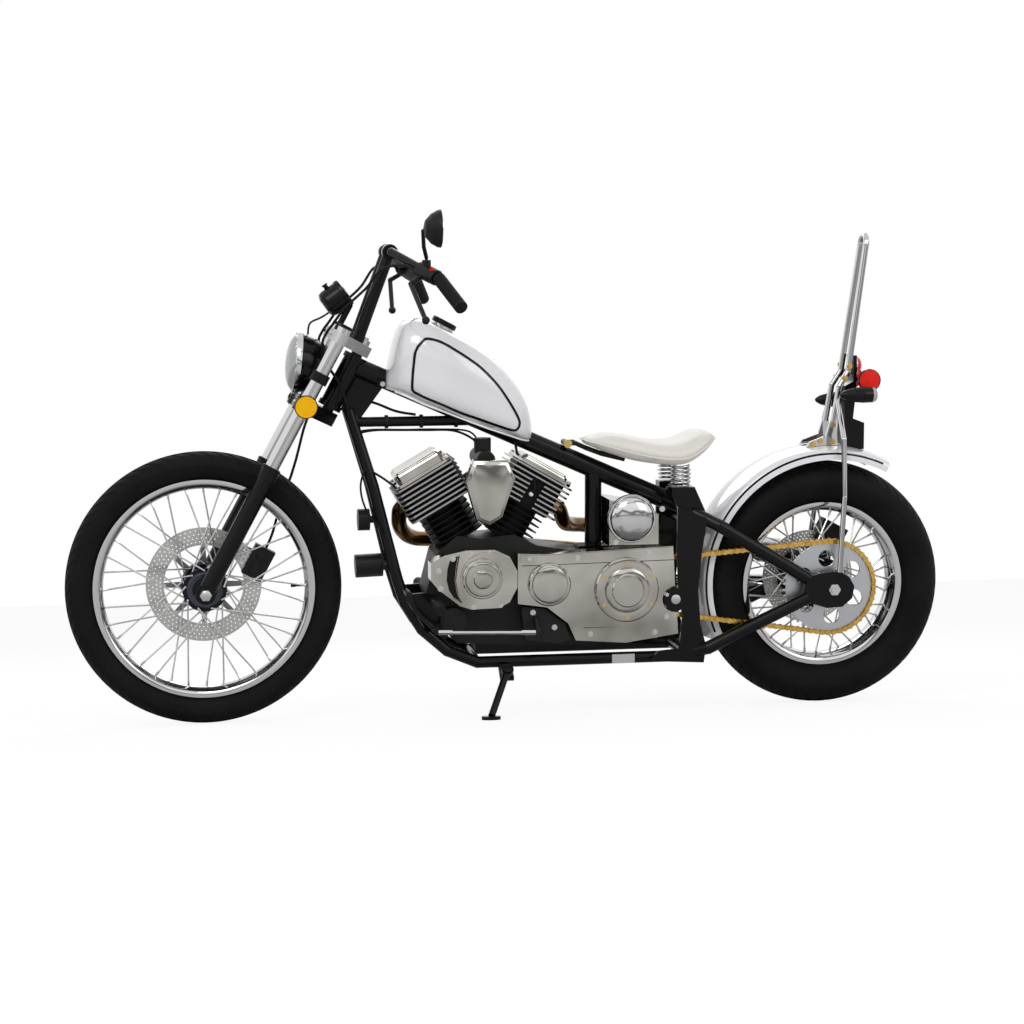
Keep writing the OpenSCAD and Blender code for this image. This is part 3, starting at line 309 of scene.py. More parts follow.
tyre("front_tyre", FRONT, 349.93, 90, 280, 56, 62, "front_wheel")
tyre("rear_tyre", REAR, 323.93, 150, 217, 96, 56, "rear_wheel")

# ---- rims and spokes ----
# Chromed steel rims with a dropped well, each laced by 36 stainless spokes that cross one another,
# hooked in the hub's flange and held in the rim by a nipple.
def speckle(m, scale, low, high):
    """The roughness drifts between low and high in a noise."""
    nt = m.node_tree
    span = node(nt, "MapRange", To_Min=low, To_Max=high)
    wire(nt, (grain(m, scale, 4), span.inputs["Value"]), (span.outputs["Result"], sockets_of(m)["Roughness"]))
    return m


# painted reflection: bands painted into bright metal's colour by the height of the mirrored direction: (height looked
# at, share of its colour)
PAINTED_REFLECTION_BANDS = ((-1, 0.3), (-0.72, 0.4), (-0.55, 0.95), (-0.3, 0.9), (-0.08, 0.8), (0.02, 0.26), (0.08, 0.22), (0.15, 1.0),
          (0.5, 1.1), (0.62, 0.36), (0.74, 0.95), (1, 0.8))


def paint_reflection_bands(m):
    """Painted reflection: the base colour is multiplied by studio bands by the mirrored direction's height, bent by a
    noise.
    """
    nt, base = m.node_tree, sockets_of(m)["Base Color"]
    mirrored = node(nt, "TexCoord").outputs["Reflection"]
    noise = node(nt, "TexNoise", Scale=2.2, Detail=1)
    split = node(nt, "SeparateXYZ")
    wave, height = (node(nt, "Math", operation="MULTIPLY_ADD") for _ in range(2))
    wave.inputs[1].default_value, wave.inputs[2].default_value = 0.3, 0.35
    height.inputs[1].default_value = 0.5
    ramp = node(nt, "ValToRGB")
    while len(ramp.color_ramp.elements) < len(PAINTED_REFLECTION_BANDS):
        ramp.color_ramp.elements.new(0.5)
    for stop, (z, share) in zip(ramp.color_ramp.elements, PAINTED_REFLECTION_BANDS):
        stop.position, stop.color = 0.5 + 0.5 * z, (share, share, share, 1)
    mix = node(nt, "VectorMath", operation="MULTIPLY")
    if base.is_linked:
        wire(nt, (base.links[0].from_socket, mix.inputs[0]))
    else:
        mix.inputs[0].default_value = base.default_value[:3]
    wire(nt, (mirrored, noise.inputs["Vector"]), (mirrored, split.inputs["Vector"]),
         (noise.outputs["Fac"], wave.inputs[0]), (split.outputs["Z"], height.inputs[0]),
         (wave.outputs["Value"], height.inputs[2]), (height.outputs["Value"], ramp.inputs["Fac"]),
         (ramp.outputs["Color"], mix.inputs[1]), (mix.outputs["Vector"], base))
    return m


def spread_about(d, off, n):
    """Round each direction of d, n directions square to it, evenly spread; off is any direction that d never is."""
    s = unit(np.cross(d, off))[:, None]
    t = np.linspace(0, 2 * np.pi, n, endpoint=False)[None, :, None]
    return np.cos(t) * s + np.sin(t) * np.cross(d[:, None], s)


def turned(rows, foot, way, n=96):
    """Rows of (along, radius) swung about the line from foot along way, n steps to the circle."""
    rows, w = np.asarray(rows, float)[:, :, None, None], unit(way)
    ring = spread_about(w[None], (1, 0, 0) if abs(w[0]) < 0.9 else (0, 0, 1), n)
    return (np.asarray(foot, float) + rows[:, 0] * w + rows[:, 1] * ring).reshape(-1, 3), woven(len(rows), n)


def tube(path, radius, n=12, close=False):
    """A round section carried along a path, its two ends closed by a point unless the path is a ring."""
    p = np.asarray(path, float)
    d = unit(np.roll(p, -1, 0) - np.roll(p, 1, 0) if close else np.gradient(p, axis=0))
    g = p[:, None] + spread_about(d, np.eye(3)[np.argmin(np.abs(d).max(0))], n) * radius
    if not close:
        g = np.concatenate([np.broadcast_to(p[0], (1, n, 3)), g, np.broadcast_to(p[-1], (1, n, 3))])
    return g.reshape(-1, 3), woven(len(g), n, close, True)


def repeated(faces, count):
    """The faces of one shape, numbered on for count shapes in a row."""
    return (faces[None] + (np.arange(count) * (faces.max() + 1))[:, None, None]).reshape(-1, faces.shape[1])


def rods(a, b, radius, n=8):
    """Many straight round rods at once, from points a to points b, all of one radius, with closed ends."""
    a, b = np.asarray(a, float)[:, None], np.asarray(b, float)[:, None]
    ring = radius * spread_about(unit(b - a)[:, 0], (0.31, 0.87, 0.38), n)
    return np.stack([a + 0 * ring, a + ring, b + ring, b + 0 * ring], 1).reshape(-1, 3), repeated(woven(4, n), len(a))


# the chrome's colour carries painted reflection bands
chrome = paint_reflection_bands(speckle(finish_of("chrome_plate", (0.66, 0.66, 0.67), 0.07, 1.0), 14, 0.04, 0.10))
spoke_steel = speckle(finish_of("stainless_spokes", (0.60, 0.60, 0.59), 0.22, 1.0), 60, 0.16, 0.30)


def laced_rim(name, middle, r, w, head_r, flange, head, body):
    """The rim: one turned ring, inside and out. The spokes: straight rods from a bent head on the flange to a
    nipple in the well, every other one on the flange's other face and leaning the other way."""
    h, n, spoke_r, nipple_r, hook_r = w / 2, 9, 2.2, 3.1, 3.0
    lip = np.array([(-h, 0), (1.2 - h, -0.4), (4 - h, -1), (8 - h, -12), (9 - h, -12.3), (0, -12.4)])
    belly = np.array([(h, -3), (h - 0.6, -10), (h - 3, -15.5), (0.72 * h, -18), (0.6 * h, -20.5), (0.4 * h, -23.5),
                      (0.2 * h, -25), (0, -25.3)])
    well = np.concatenate([lip, (lip * (-1, 1))[-2::-1], belly, (belly * (-1, 1))[-2::-1], lip[:1]]) + (0, r)
    parts = [turned(well, middle, (0, 1, 0), 192)]
    for s in (-1, 1):
        a = np.repeat(np.arange(n) * 2 * np.pi / n, 2) + (0 if s > 0 else np.radians(10))
        k = np.tile((-1.0, 1.0), n)
        y0 = np.where(k > 0, flange[1] + head, flange[0] - 2.3)
        b = a + k * np.radians(50)
        root, tip = middle + about_axle(head_r, a, s * y0), middle + about_axle(r - 20, b, s * 7)
        nipple, hook = tip + 17 * unit(root - tip), root - np.outer(s * k, (0, 4, 0))
        parts.append((*rods(root, tip, spoke_r), 1))
        parts.append((*rods(tip, nipple, nipple_r, 6), 1))
        parts.append((*rods(root, hook, hook_r, 6), 1))
    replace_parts(put(name + "_dressed", parts, [chrome, spoke_steel], body, 40), name)


laced_rim("front_rim", FRONT, 280, 56, 50, (33, 38), 4.4, "front_wheel")
laced_rim("rear_rim", REAR, 217, 96, 62, (42, 48), 6.0, "rear_wheel")

# ---- hubs ----
# Black painted steel hubs with rolled flanges, each turned in one piece and running on its axle.
# The front one wears a blue-grey ring.
hub_black = speckle(finish_of("hub_black_paint", (0.005, 0.005, 0.007), 0.26, Specular_IOR_Level=0.2), 40, 0.2, 0.36)
hub_ring = speckle(finish_of("blue_grey_hub_ring", (0.055, 0.06, 0.08), 0.25, 0.6), 30, 0.18, 0.34)


def turned_hub(name, middle, core, flange_r, flange, half, body, ring):
    """One turned shape: waisted core, two flanges with rounded edges and a stepped nose on each side."""
    f0, f1 = flange
    nose = np.array([(f0 - 12, core), (f0 - 7, core + 3), (f0 - 2, core + 8), (f0, core + 11), (f0, flange_r - 1.2),
                     (f0 + 1, flange_r), (f1 - 1, flange_r), (f1, flange_r - 1.2), (f1, flange_r - 14),
                     (f1 + 3, flange_r - 17), (f1 + 5, 27), (f1 + 6, 24), (half - 1.5, 24), (half, 22.5), (half, 10.1)])
    rows = np.concatenate([(nose * (-1, 1))[::-1], nose, [[-half, 10.1]]])
    parts = [turned(rows, middle, (0, 1, 0))]
    if ring:
        lip = [(1.2, 27), (4.5, 28), (6.5, 31), (6.5, 42), (3.5, 46), (1.2, 47), (1.2, 27)]
        parts.append((*turned(np.array(lip) * (-1, 1) - (f1, 0), middle, (0, 1, 0)), 1))
    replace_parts(put(name + "_dressed", parts, [hub_black, hub_ring], body, 30), name)


turned_hub("front_hub", FRONT, 28, 56, (33, 38), 68, "front_wheel", True)
turned_hub("rear_hub", REAR, 40, 68, (42, 48), 112, "rear_wheel", False)

# ---- brake discs ----
# Ground stainless discs on the far side of each wheel, drilled in slanted rows, bolted to the hub
# through a dark carrier with open windows.
disc_steel = speckle(finish_of("ground_disc_steel", (0.55, 0.55, 0.54), 0.3, 1.0, Anisotropic=0.5), 120, 0.22, 0.38)
disc_carrier = speckle(finish_of("disc_carrier_alloy", (0.20, 0.21, 0.23), 0.38, 1.0), 80, 0.3, 0.46)


def drilled_ring(middle, y, thick, r0, r1, rows, cells, hole, skew):
    """A flat ring of cells, each a square wrapped round a round hole: both faces and the holes' walls. A cell's
    angle is its number plus a skew by its radius, and the hole keeps its size at every radius."""
    t = np.arange(16) * np.pi / 8
    circle = about_axle(1, t)[:, ::2]
    square = circle / np.abs(circle).max(1)[:, None]
    ri, ci = np.meshgrid(np.arange(rows), np.arange(cells), indexing="ij")
    step, span = (r1 - r0) / rows, 2 * np.pi / cells
    mid_r = (r0 + (ri + 0.5) * step)[..., None]
    g = []
    for u, drilled in ((square * 0.5, False), (circle * 0.5 * hole / step, True)):
        rad = mid_r + u[:, 0] * step
        ang = (ci[..., None] + skew * ((mid_r if drilled else rad) - r0) / (r1 - r0)) * span
        ang = ang + u[:, 1] * (step / mid_r if drilled else span)
        g.append(about_axle(rad, ang, y))
    half = np.array((0, thick / 2, 0))
    p = np.stack([g[0] - half, g[1] - half, g[1] + half, g[0] + half], 2).reshape(-1, 3) + middle
    return p, repeated(woven(4, 16), rows * cells)


def brake_disc(name, middle, y, r, inner, arms, body):
    """The drilled ring, its two rims, the carrier's ring and arms, and their rivets and bolts."""
    seat = middle + (0, y, 0)
    parts = [drilled_ring(middle, y, 5, inner + 2, r - 3, 4, 66, 3.4, 2.2)]
    for a, b in ((r - 3, r), (inner - 2, inner + 2)):
        edge = [(-2.5, a), (-2.5, b - 0.5), (-2.0, b), (2.0, b), (2.5, b - 0.5), (2.5, a), (-2.5, a)]
        parts.append(turned(edge, seat, (0, 1, 0), 160))
    hub = [(-2.2, 24.3), (-2.2, inner * 0.57), (2.2, inner * 0.57), (2.2, 24.3), (-2.2, 24.3)]
    parts.append((*turned(hub, seat, (0, 1, 0)), 1))
    t = np.arange(arms) * 2 * np.pi / arms
    out, across = about_axle(1, t), about_axle(1, t + np.pi / 2)
    corners = np.stack([seat + out * far + s * across * wide + (0, z, 0)
                        for far, wide in ((inner * 0.55, 8), (inner - 0.5, 6))
                        for s in (-1, 1) for z in (-2.2, 2.2)], 1)
    box = np.array([(0, 1, 3, 2), (4, 6, 7, 5), (0, 4, 5, 1), (2, 3, 7, 6), (0, 2, 6, 4), (1, 5, 7, 3)])
    parts.append((corners, repeated(box, arms), 1))
    rivet, bolt = seat + out * (inner - 3), seat + out * 32
    parts.append(rods(rivet - (0, 4, 0), rivet + (0, 4, 0), 5, 12))
    parts.append((*rods(bolt - (0, 2, 0), bolt + (0, 6.5, 0), 5.5, 6), 2))
    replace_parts(put(name + "_dressed", parts, [disc_steel, disc_carrier, spoke_steel], body, 30), name)


brake_disc("front_disc", FRONT, 58, 148, 104, 8, "front_wheel")
brake_disc("rear_disc", REAR, 92, 125, 88, 6, "rear_wheel")

# ---- chain and sprockets ----
# A gold coated roller chain: outer plates on pins, inner plates on rollers, laid round both
# sprockets at their pitch circles. The rear sprocket is bare aluminium, bolted to the hub.
chain_gold = finish_of("gold_chain_plate", (0.70, 0.42, 0.08), 0.24, 1.0)
mottled(chain_gold, 60, (0.50, 0.29, 0.05), (0.80, 0.52, 0.13))
sprocket_alloy = speckle(finish_of("bare_aluminium", (0.52, 0.53, 0.55), 0.36, 1.0), 90, 0.28, 0.44)
PITCH, REAR_TEETH, FRONT_TEETH, CHAIN_Y = 15.886, 48, 21, 101.0
REAR_PITCH_R, FRONT_PITCH_R = (PITCH * teeth / 2 / np.pi for teeth in (REAR_TEETH, FRONT_TEETH))


def chain_places(count):
    """Pin centres round the loop: the centre distance is halved in on until the loop holds a whole number of
    pitches; a pin's place is read off arc, straight, arc, straight by its distance along."""
    gap = REAR_PITCH_R - FRONT_PITCH_R
    lo, hi = 400.0, 800.0
    for _ in range(50):
        c = (lo + hi) / 2
        al, straight = np.arcsin(gap / c), np.sqrt(c * c - gap * gap)
        wrap, nose = REAR_PITCH_R * (np.pi + 2 * al), FRONT_PITCH_R * (np.pi - 2 * al)
        lo, hi = (c, hi) if wrap + nose + 2 * straight < count * PITCH else (lo, c)

    def arc_and_on(along, middle, r, start, arc):
        """Round an arc from the angle start, then on along its tangent."""
        t, on = start + np.clip(along, 0, arc) / r, np.maximum(along - arc, 0)
        return middle + r * np.cos(t) - on * np.sin(t), r * np.sin(t) + on * np.cos(t)

    s = np.arange(count) * PITCH
    x, z = np.where(s < wrap + straight, arc_and_on(s, 0, REAR_PITCH_R, -np.pi / 2 - al, wrap),
                    arc_and_on(s - wrap - straight, -c, FRONT_PITCH_R, np.pi / 2 + al, nose))
    cos, sin = np.cos(np.radians(2)), np.sin(np.radians(2))
    return REAR + np.column_stack((x * cos + z * sin, 0 * x - CHAIN_Y, z * cos - x * sin))


def prisms(outline, low, high, at, along, across):
    """Copies of one flat outline, thick from low to high along across, set at many places and turned to along."""
    o = np.asarray(outline, float)
    n = len(o)
    up_way = np.cross(along, across)
    ring = o[None, :, :1] * along[:, None] + o[None, :, 1:] * up_way[:, None]
    mid = ring.mean(1, keepdims=True) + 0 * ring
    g = np.stack([at[:, None] + mid + low * across, at[:, None] + ring + low * across,
                  at[:, None] + ring + high * across, at[:, None] + mid + high * across], 1)
    return g.reshape(-1, 3), repeated(woven(4, n), len(at))


def link_outline(r, waist):
    """Two round eyes of radius r a pitch apart with a narrower waist between them."""
    t = np.linspace(-0.72 * np.pi, 0.72 * np.pi, 9)
    eye_end = np.column_stack((PITCH + r * np.cos(t), r * np.sin(t)))
    back_end = np.column_stack((-r * np.cos(t), -r * np.sin(t)))
    return np.concatenate([eye_end, [(PITCH / 2, waist)], back_end, [(PITCH / 2, -waist)]])


pins = chain_places(110)
run_way = unit(np.roll(pins, -1, 0) - pins)
y_way = np.array((0, 1.0, 0))
outer_link = np.arange(110) % 2 == 0
links = []
for face in (-1, 1):
    for r, waist, thick, y, chosen in ((6.6, 4.6, 0.8, 9.0, outer_link), (7.0, 5.0, 0.9, 6.5, ~outer_link)):
        links.append(prisms(link_outline(r, waist), -thick, thick, (pins + (0, face * y, 0))[chosen], run_way[chosen],
                            y_way))
for half, r, n in ((5.6, 5.0, 12), (10.6, 2.5, 8)):
    links.append((*rods(pins - (0, half, 0), pins + (0, half, 0), r, n), 1))
roller_steel = speckle(finish_of("roller_steel", (0.62, 0.46, 0.22), 0.3, 1.0), 50, 0.24, 0.4)
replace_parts(put("gold_chain", links, [chain_gold, roller_steel], "frame", 30), "chain")


def dress(names, material):
    """CAD nodes keep their shape and take this finish."""
    for name in names.split():
        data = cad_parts[name].data
        data.materials.clear()
        data.materials.append(material)


dress("sprocket", sprocket_alloy)
t = np.arange(6) * np.pi / 3 + 0.14
bolt_ring = REAR + about_axle(43, t, -CHAIN_Y)
put("sprocket_bolts", [rods(bolt_ring - (0, 9, 0), bolt_ring + (0, 2, 0), 6.5, 6),
                       rods(bolt_ring - (0, 4.4, 0), bolt_ring + (0, 3, 0), 9.5, 24)],
    spoke_steel, "rear_wheel")

# ---- frame ----
# Welded steel tube, painted gloss black: neck, backbone, twin down tubes, rails, stays and the
# plates that hold the engine and the rear axle.
frame_black = finish_of("gloss_black_frame_paint", (0.004, 0.004, 0.005), 0.2, Specular_IOR_Level=0.14, Coat_Weight=0.1,
                        Coat_Roughness=0.06)
speckle(frame_black, 26, 0.16, 0.27)
pebbled(frame_black, 260, 0.00005)
dress("frame", frame_black)
zinc = speckle(finish_of("zinc_plated_steel", (0.62, 0.62, 0.60), 0.26, 1.0), 70, 0.2, 0.36)
dress("front_axle rear_axle", zinc)

# ---- tank ----
# Pressed steel tank over the backbone, pearl white under clear lacquer. A black coach line is
# brushed round each flank, and a soldered seam runs along its lower edge.
pearl_white = finish_of("pearl_white_paint", (0.80, 0.80, 0.81), 0.16, Coat_Weight=0.8, Coat_Roughness=0.05)
mottled(pearl_white, 2.2, (0.86, 0.86, 0.90), (0.91, 0.91, 0.93))
speckle(pearl_white, 30, 0.13, 0.20)
line_black = speckle(finish_of("coach_line_black", (0.005, 0.005, 0.006), 0.2, Specular_IOR_Level=0.2), 60, 0.16, 0.26)
# place along the machine, top, bottom, half width
TANK = through([(466, 872, 856, 30), (469, 896, 853.5, 46), (478, 924, 850, 62), (490, 974, 846, 80),
                (506, 1014, 840, 94), (530, 1030, 829, 104), (560, 1030, 815, 112), (600, 1017, 800, 117),
                (640, 996, 784, 118), (690, 967, 764, 112), (730, 938, 749, 104), (770, 900, 735, 92),
                (806, 856, 722, 76), (828, 818, 716, 58), (840, 780, 718, 38), (844, 756, 726, 22)], 5)


def tank_flank(x, z):
    """Half width of the tank at a place on its side, whose share of the section's height sets it."""
    top, low, half = (np.interp(x, TANK[:, 0], TANK[:, k]) for k in (1, 2, 3))
    share = (z - (top + low) / 2) / ((top - low) / 2)
    rise = np.clip(np.abs(share), 0, 1) ** np.where(share < 0, 1 / 0.45, 1 / 0.8)
    return half * np.clip(1 - rise ** 2, 0, 1) ** 0.375


def oval_shell(rows, n, side_power, low_power, top_power):
    """Ovals (x, top, bottom, half width), in powers of sine and cosine, joined and closed by a point at each end."""
    a = np.linspace(0, 2 * np.pi, n, endpoint=False)
    c, s = np.cos(a), np.sin(a)
    mid, high = (rows[:, 1] + rows[:, 2]) / 2, (rows[:, 1] - rows[:, 2]) / 2
    y = rows[:, 3, None] * np.sign(c) * np.abs(c) ** side_power
    z = mid[:, None] + high[:, None] * np.sign(s) * np.abs(s) ** np.where(s < 0, low_power, top_power)
    g = np.stack((rows[:, 0, None] + 0 * y, y, z), -1)
    ends = [np.column_stack((rows[k, 0] + np.zeros(n), np.zeros(n), mid[k] + np.zeros(n)))[None] for k in (0, -1)]
    return np.concatenate([ends[0], g, ends[1]]).reshape(-1, 3), woven(len(rows) + 2, n)


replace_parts(put("painted_tank", [oval_shell(TANK, 96, 0.75, 0.45, 0.8)], pearl_white, "frame", 50),
            "fuel_tank")
COACH = np.array([(540, 964), (553, 978), (566, 984), (600, 975), (640, 952), (672, 931), (699, 911), (728, 883),
                  (752, 855), (774, 823), (789, 799), (800, 779), (804, 765), (799, 751), (785, 747), (740, 762),
                  (694, 779), (654, 793), (600, 817), (560, 834), (543, 843), (531, 850), (526, 862), (527, 895),
                  (530, 925), (533, 948)], float)


def coach_line(outline, width, side):
    """A closed painted line: the outline smoothed, given width along its normal, and lifted a hair off the flank."""
    loop = through(np.concatenate([outline, outline[:1]]), 6)[:-1]
    way = unit(np.roll(loop, -1, 0) - np.roll(loop, 1, 0))
    normal = np.column_stack((-way[:, 1], way[:, 0]))
    rows = [loop + off * normal for off in np.linspace(-width / 2, width / 2, 4)]
    g = [np.column_stack((x, side * (tank_flank(x, z) + 0.8), z)) for x, z in (row.T for row in rows)]
    return np.array(g).reshape(-1, 3), woven(4, len(loop))


put("tank_coach_lines", [coach_line(COACH, 6.5, s) for s in (-1, 1)], line_black, "frame")
seam_x = np.linspace(486, 832, 60)
seam = np.column_stack((seam_x, np.interp(seam_x, TANK[:, 0], TANK[:, 3]) * 0.86,
                        np.interp(seam_x, TANK[:, 0], TANK[:, 2]) + 1.5))
put("tank_seams", [tube(seam * (1, s, 1), 2.4, 8) for s in (-1, 1)], pearl_white, "frame")
tip = np.radians(28)
cap_foot, cap_way = np.array((616, 0, 1008.6)), np.array((np.sin(tip), 0, np.cos(tip)))
put("filler_neck", [turned([(-8, 0), (-8, 27), (1.5, 28.5), (3.8, 28.5), (3.8, 0)], cap_foot, cap_way, 64)], chrome,
    "frame")
cap_rows = [(4.3, 0), (4.3, 31), (5.5, 33), (15.5, 33), (17.5, 31.5), (18.4, 28), (18.6, 24), (17.4, 22), (17.2, 0)]
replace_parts(put("vented_cap", [turned(cap_rows, cap_foot, cap_way)], frame_black, "frame"), "fuel_cap")

# ---- seat ----
# A sprung solo saddle: foam on a steel pan under cream white vinyl, one piped seam right round it.
# The foam swells in a cloth simulation, and the piping runs along its widest line.
vinyl = finish_of("cream_vinyl", (0.80, 0.77, 0.71), 0.5, Specular_IOR_Level=0.4, Sheen_Weight=0.08)
mottled(vinyl, 7, (0.83, 0.80, 0.74), (0.89, 0.865, 0.815))
speckle(vinyl, 300, 0.42, 0.58)
pebbled(vinyl, 750, 0.00018, 6)
seat_rows = through([(984, 726, 706, 44), (1000, 731, 700, 62), (1040, 731, 684, 84), (1100, 722, 665, 108),
                     (1150, 711, 656, 124), (1200, 707, 651, 132), (1240, 714, 653, 130), (1275, 732, 672, 120),
                     (1300, 741, 692, 102), (1318, 736, 708, 74)], 5)
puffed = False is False
swell_room = 4.0 if puffed else 0.6
slim = seat_rows + np.array((0, -1, 0.4, -1)) * swell_room
saddle = put("vinyl_saddle", [oval_shell(slim, 72, 0.7, 0.7, 0.7)], vinyl, "frame", 60)


def settle(o, *names):
    """The modifiers of these names become part of the mesh."""
    with bpy.context.temp_override(object=o, active_object=o, selected_objects=[o]):
        for name in names:
            bpy.ops.object.modifier_apply(modifier=name)


if puffed:
    remesh = saddle.modifiers.new("voxels", "REMESH")
    remesh.mode, remesh.voxel_size = "VOXEL", 0.005
    settle(saddle, "voxels")
    start = np.zeros(len(saddle.data.vertices) * 3)
    saddle.data.vertices.foreach_get("co", start)
    start = start.reshape(-1, 3)
    press = saddle.modifiers.new("foam", "CLOTH")
    press.settings.use_pressure = True
    press.settings.uniform_pressure_force = 4
    press.settings.quality = 6
    press.settings.mass = 0.3
    press.settings.tension_stiffness = press.settings.compression_stiffness = 12
    press.settings.effector_weights.gravity = 0
    press.point_cache.frame_start, press.point_cache.frame_end = 1, 20
    for number in range(1, 21):
        bpy.context.scene.frame_set(number)
    seen = saddle.evaluated_get(bpy.context.evaluated_depsgraph_get()).data
    swelled = np.zeros(len(seen.vertices) * 3)
    seen.vertices.foreach_get("co", swelled)
    shift = swelled.reshape(-1, 3) - start
    far = np.linalg.norm(shift, axis=1, keepdims=True)
    shift *= np.minimum(1, swell_room / 1000 * 1.05 / np.maximum(far, 1e-9))
    saddle.modifiers.remove(press)
    bpy.context.scene.frame_set(1)
    saddle.data.vertices.foreach_set("co", (start + shift).astype(np.float32).ravel())
    saddle.data.update()
    smooth = saddle.modifiers.new("even", "SMOOTH")
    smooth.factor, smooth.iterations = 0.5, 6
    finer = saddle.modifiers.new("fine", "SUBSURF")
    finer.levels = finer.render_levels = 1
    settle(saddle, "even", "fine")
    saddle.data.shade_smooth()
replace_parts(saddle, "seat")
# the piping follows the widest line of each section, both ways round
mid_z = (seat_rows[:, 1] + seat_rows[:, 2]) / 2 - (seat_rows[:, 1] - seat_rows[:, 2]) * 0.16
half_line = np.column_stack((seat_rows[:, 0], seat_rows[:, 3] * 0.985, mid_z))
nose = np.array([(983, 30, 714), (981.5, 0, 714)])
tail = np.array([(1322, 40, 720), (1323, 0, 720)])
ring = np.concatenate([half_line, tail, (tail * (1, -1, 1))[-2::-1], (half_line * (1, -1, 1))[::-1],
                       nose[:1] * (1, -1, 1), nose[1:], nose[:1]])
put("saddle_piping", [tube(ring, 2.2, 10, True)], vinyl, "frame", 60)

# ---- finishes of the rest ----
# Each node that keeps its shape gets its own finish: paint, plate, cast metal, rubber or lens. The
# pieces that follow share these finishes.
polished = finish_of("polished_alloy", (0.62, 0.60, 0.56), 0.12, 1.0)
# the polished alloy's colour drifts from dark to light in a noise as painted reflection patches, with painted
# reflection bands over them
mottled(polished, 7, (0.33, 0.315, 0.28), (0.66, 0.64, 0.59), 2)
paint_reflection_bands(speckle(polished, 40, 0.09, 0.17))
case_grey = finish_of("dark_cast_case", (0.016, 0.016, 0.017), 0.46, 0.2, Specular_IOR_Level=0.2)
pebbled(speckle(case_grey, 60, 0.4, 0.56), 420, 0.0003)
fin_black = finish_of("satin_fin_black", (0.005, 0.005, 0.005), 0.5, Specular_IOR_Level=0.12)
pebbled(speckle(fin_black, 80, 0.36, 0.54), 500, 0.0002)
fin_edge = speckle(finish_of("machined_fin_edge", (0.40, 0.40, 0.39), 0.24, 1.0), 120, 0.18, 0.34)
bare_cast = finish_of("bare_cast_aluminium", (0.50, 0.50, 0.49), 0.34, 0.9)
pebbled(speckle(bare_cast, 60, 0.28, 0.44), 300, 0.0002)
tinted = finish_of("heat_tinted_pipe", (0.30, 0.17, 0.06), 0.22, 1.0)
speckle(mottled(tinted, 14, (0.035, 0.02, 0.01), (0.34, 0.19, 0.06)), 40, 0.16, 0.3)
moulded = finish_of("moulded_black", (0.007, 0.007, 0.007), 0.42, Specular_IOR_Level=0.2)
pebbled(speckle(moulded, 90, 0.36, 0.5), 600, 0.0001)
soft_black = finish_of("soft_black_rubber", (0.007, 0.007, 0.007), 0.6, Specular_IOR_Level=0.15)
pebbled(speckle(soft_black, 90, 0.52, 0.68), 700, 0.00015)
amber = finish_of("amber_lens", (1.0, 0.5, 0.003), 0.3, Specular_IOR_Level=0.15)
speckle(mottled(amber, 30, (0.98, 0.47, 0.002), (1.0, 0.56, 0.004)), 70, 0.24, 0.38)
ruby = finish_of("red_lens", (0.86, 0.016, 0.01), 0.24, Specular_IOR_Level=0.2)
speckle(mottled(ruby, 30, (0.78, 0.008, 0.006), (0.94, 0.03, 0.015)), 70, 0.18, 0.3)
brass = speckle(finish_of("brass_screws", (0.66, 0.46, 0.16), 0.24, 1.0), 90, 0.18, 0.34)
for material, names in ((polished, "primary_cover stator_cover right_cover"), (amber, "amber_reflectors"),
                        (case_grey, "crankcase carburettor rear_caliper front_caliper"), (bare_cast, "upper_clamp"),
                        (chrome, "mufflers sissy_bar"), (soft_black, "brake_hose lamp_wire"), (ruby, "red_lenses"),
                        (frame_black, "lower_clamp fork_sliders handlebar headlamp speedometer tail_bracket"),
                        (frame_black, "side_stand rear_signals"), (moulded, "horn front_lamp hand_controls"),
                        (moulded, "mirror_piece seat_strap foot_controls")):
    dress(names, material)


# ---- cylinders ----
# Two cast iron and alloy cylinders sixty degrees apart: black barrels, and heads whose fins are
# machined bright along their edges. The fins are notched for the ports and the spark plug.
def inset(outline, d):
    """The outline drawn in by d: each corner moves along its two edges' inward normals, mitred."""
    p = np.asarray(outline, float)
    a, b = p - np.roll(p, 1, 0), np.roll(p, -1, 0) - p
    hand = np.sign(np.sum(p[:, 0] * np.roll(p[:, 1], -1) - np.roll(p[:, 0], -1) * p[:, 1]))
    n1, n2 = (hand * unit(np.column_stack((-e[:, 1], e[:, 0]))) for e in (a, b))
    return p + d * (n1 + n2) / (1 + np.sum(n1 * n2, 1))[:, None]


def stack(rings, axes, skin=0):
    """Outlines at rising levels joined into one closed shape; axes are its foot and the ways of u, v and level."""
    foot, u, v, w = (np.asarray(e, float) for e in axes)
    g = [foot + np.asarray(r, float)[:, :1] * u + np.asarray(r, float)[:, 1:] * v + z * w for r, z in rings]
    n = len(rings[0][0])
    face = np.arange(n)[None]
    return [(np.concatenate(g), woven(len(g), n), skin), (g[0], face[:, ::-1]), (g[-1], face)]


def slab(outline, low, high, bevel, axes, skin=0):
    """A flat outline given thickness, both its rims bevelled."""
    drawn = inset(outline, bevel)
    return stack([(drawn, low), (outline, low + bevel), (outline, high - bevel), (drawn, high)], axes, skin)


LEFT_FACE = ((0, 0, 0), (1, 0, 0), (0, 0, 1), (0, -1, 0))
CRANK = (712, 0, 368)


def bank(s):
    """The frame of a cylinder thirty degrees from upright: front for -1, rear for 1."""
    c, h = np.cos(np.radians(30)), 0.5 * s
    return np.array((CRANK, (c, 0, -h), (0, 1, 0), (h, 0, c)))


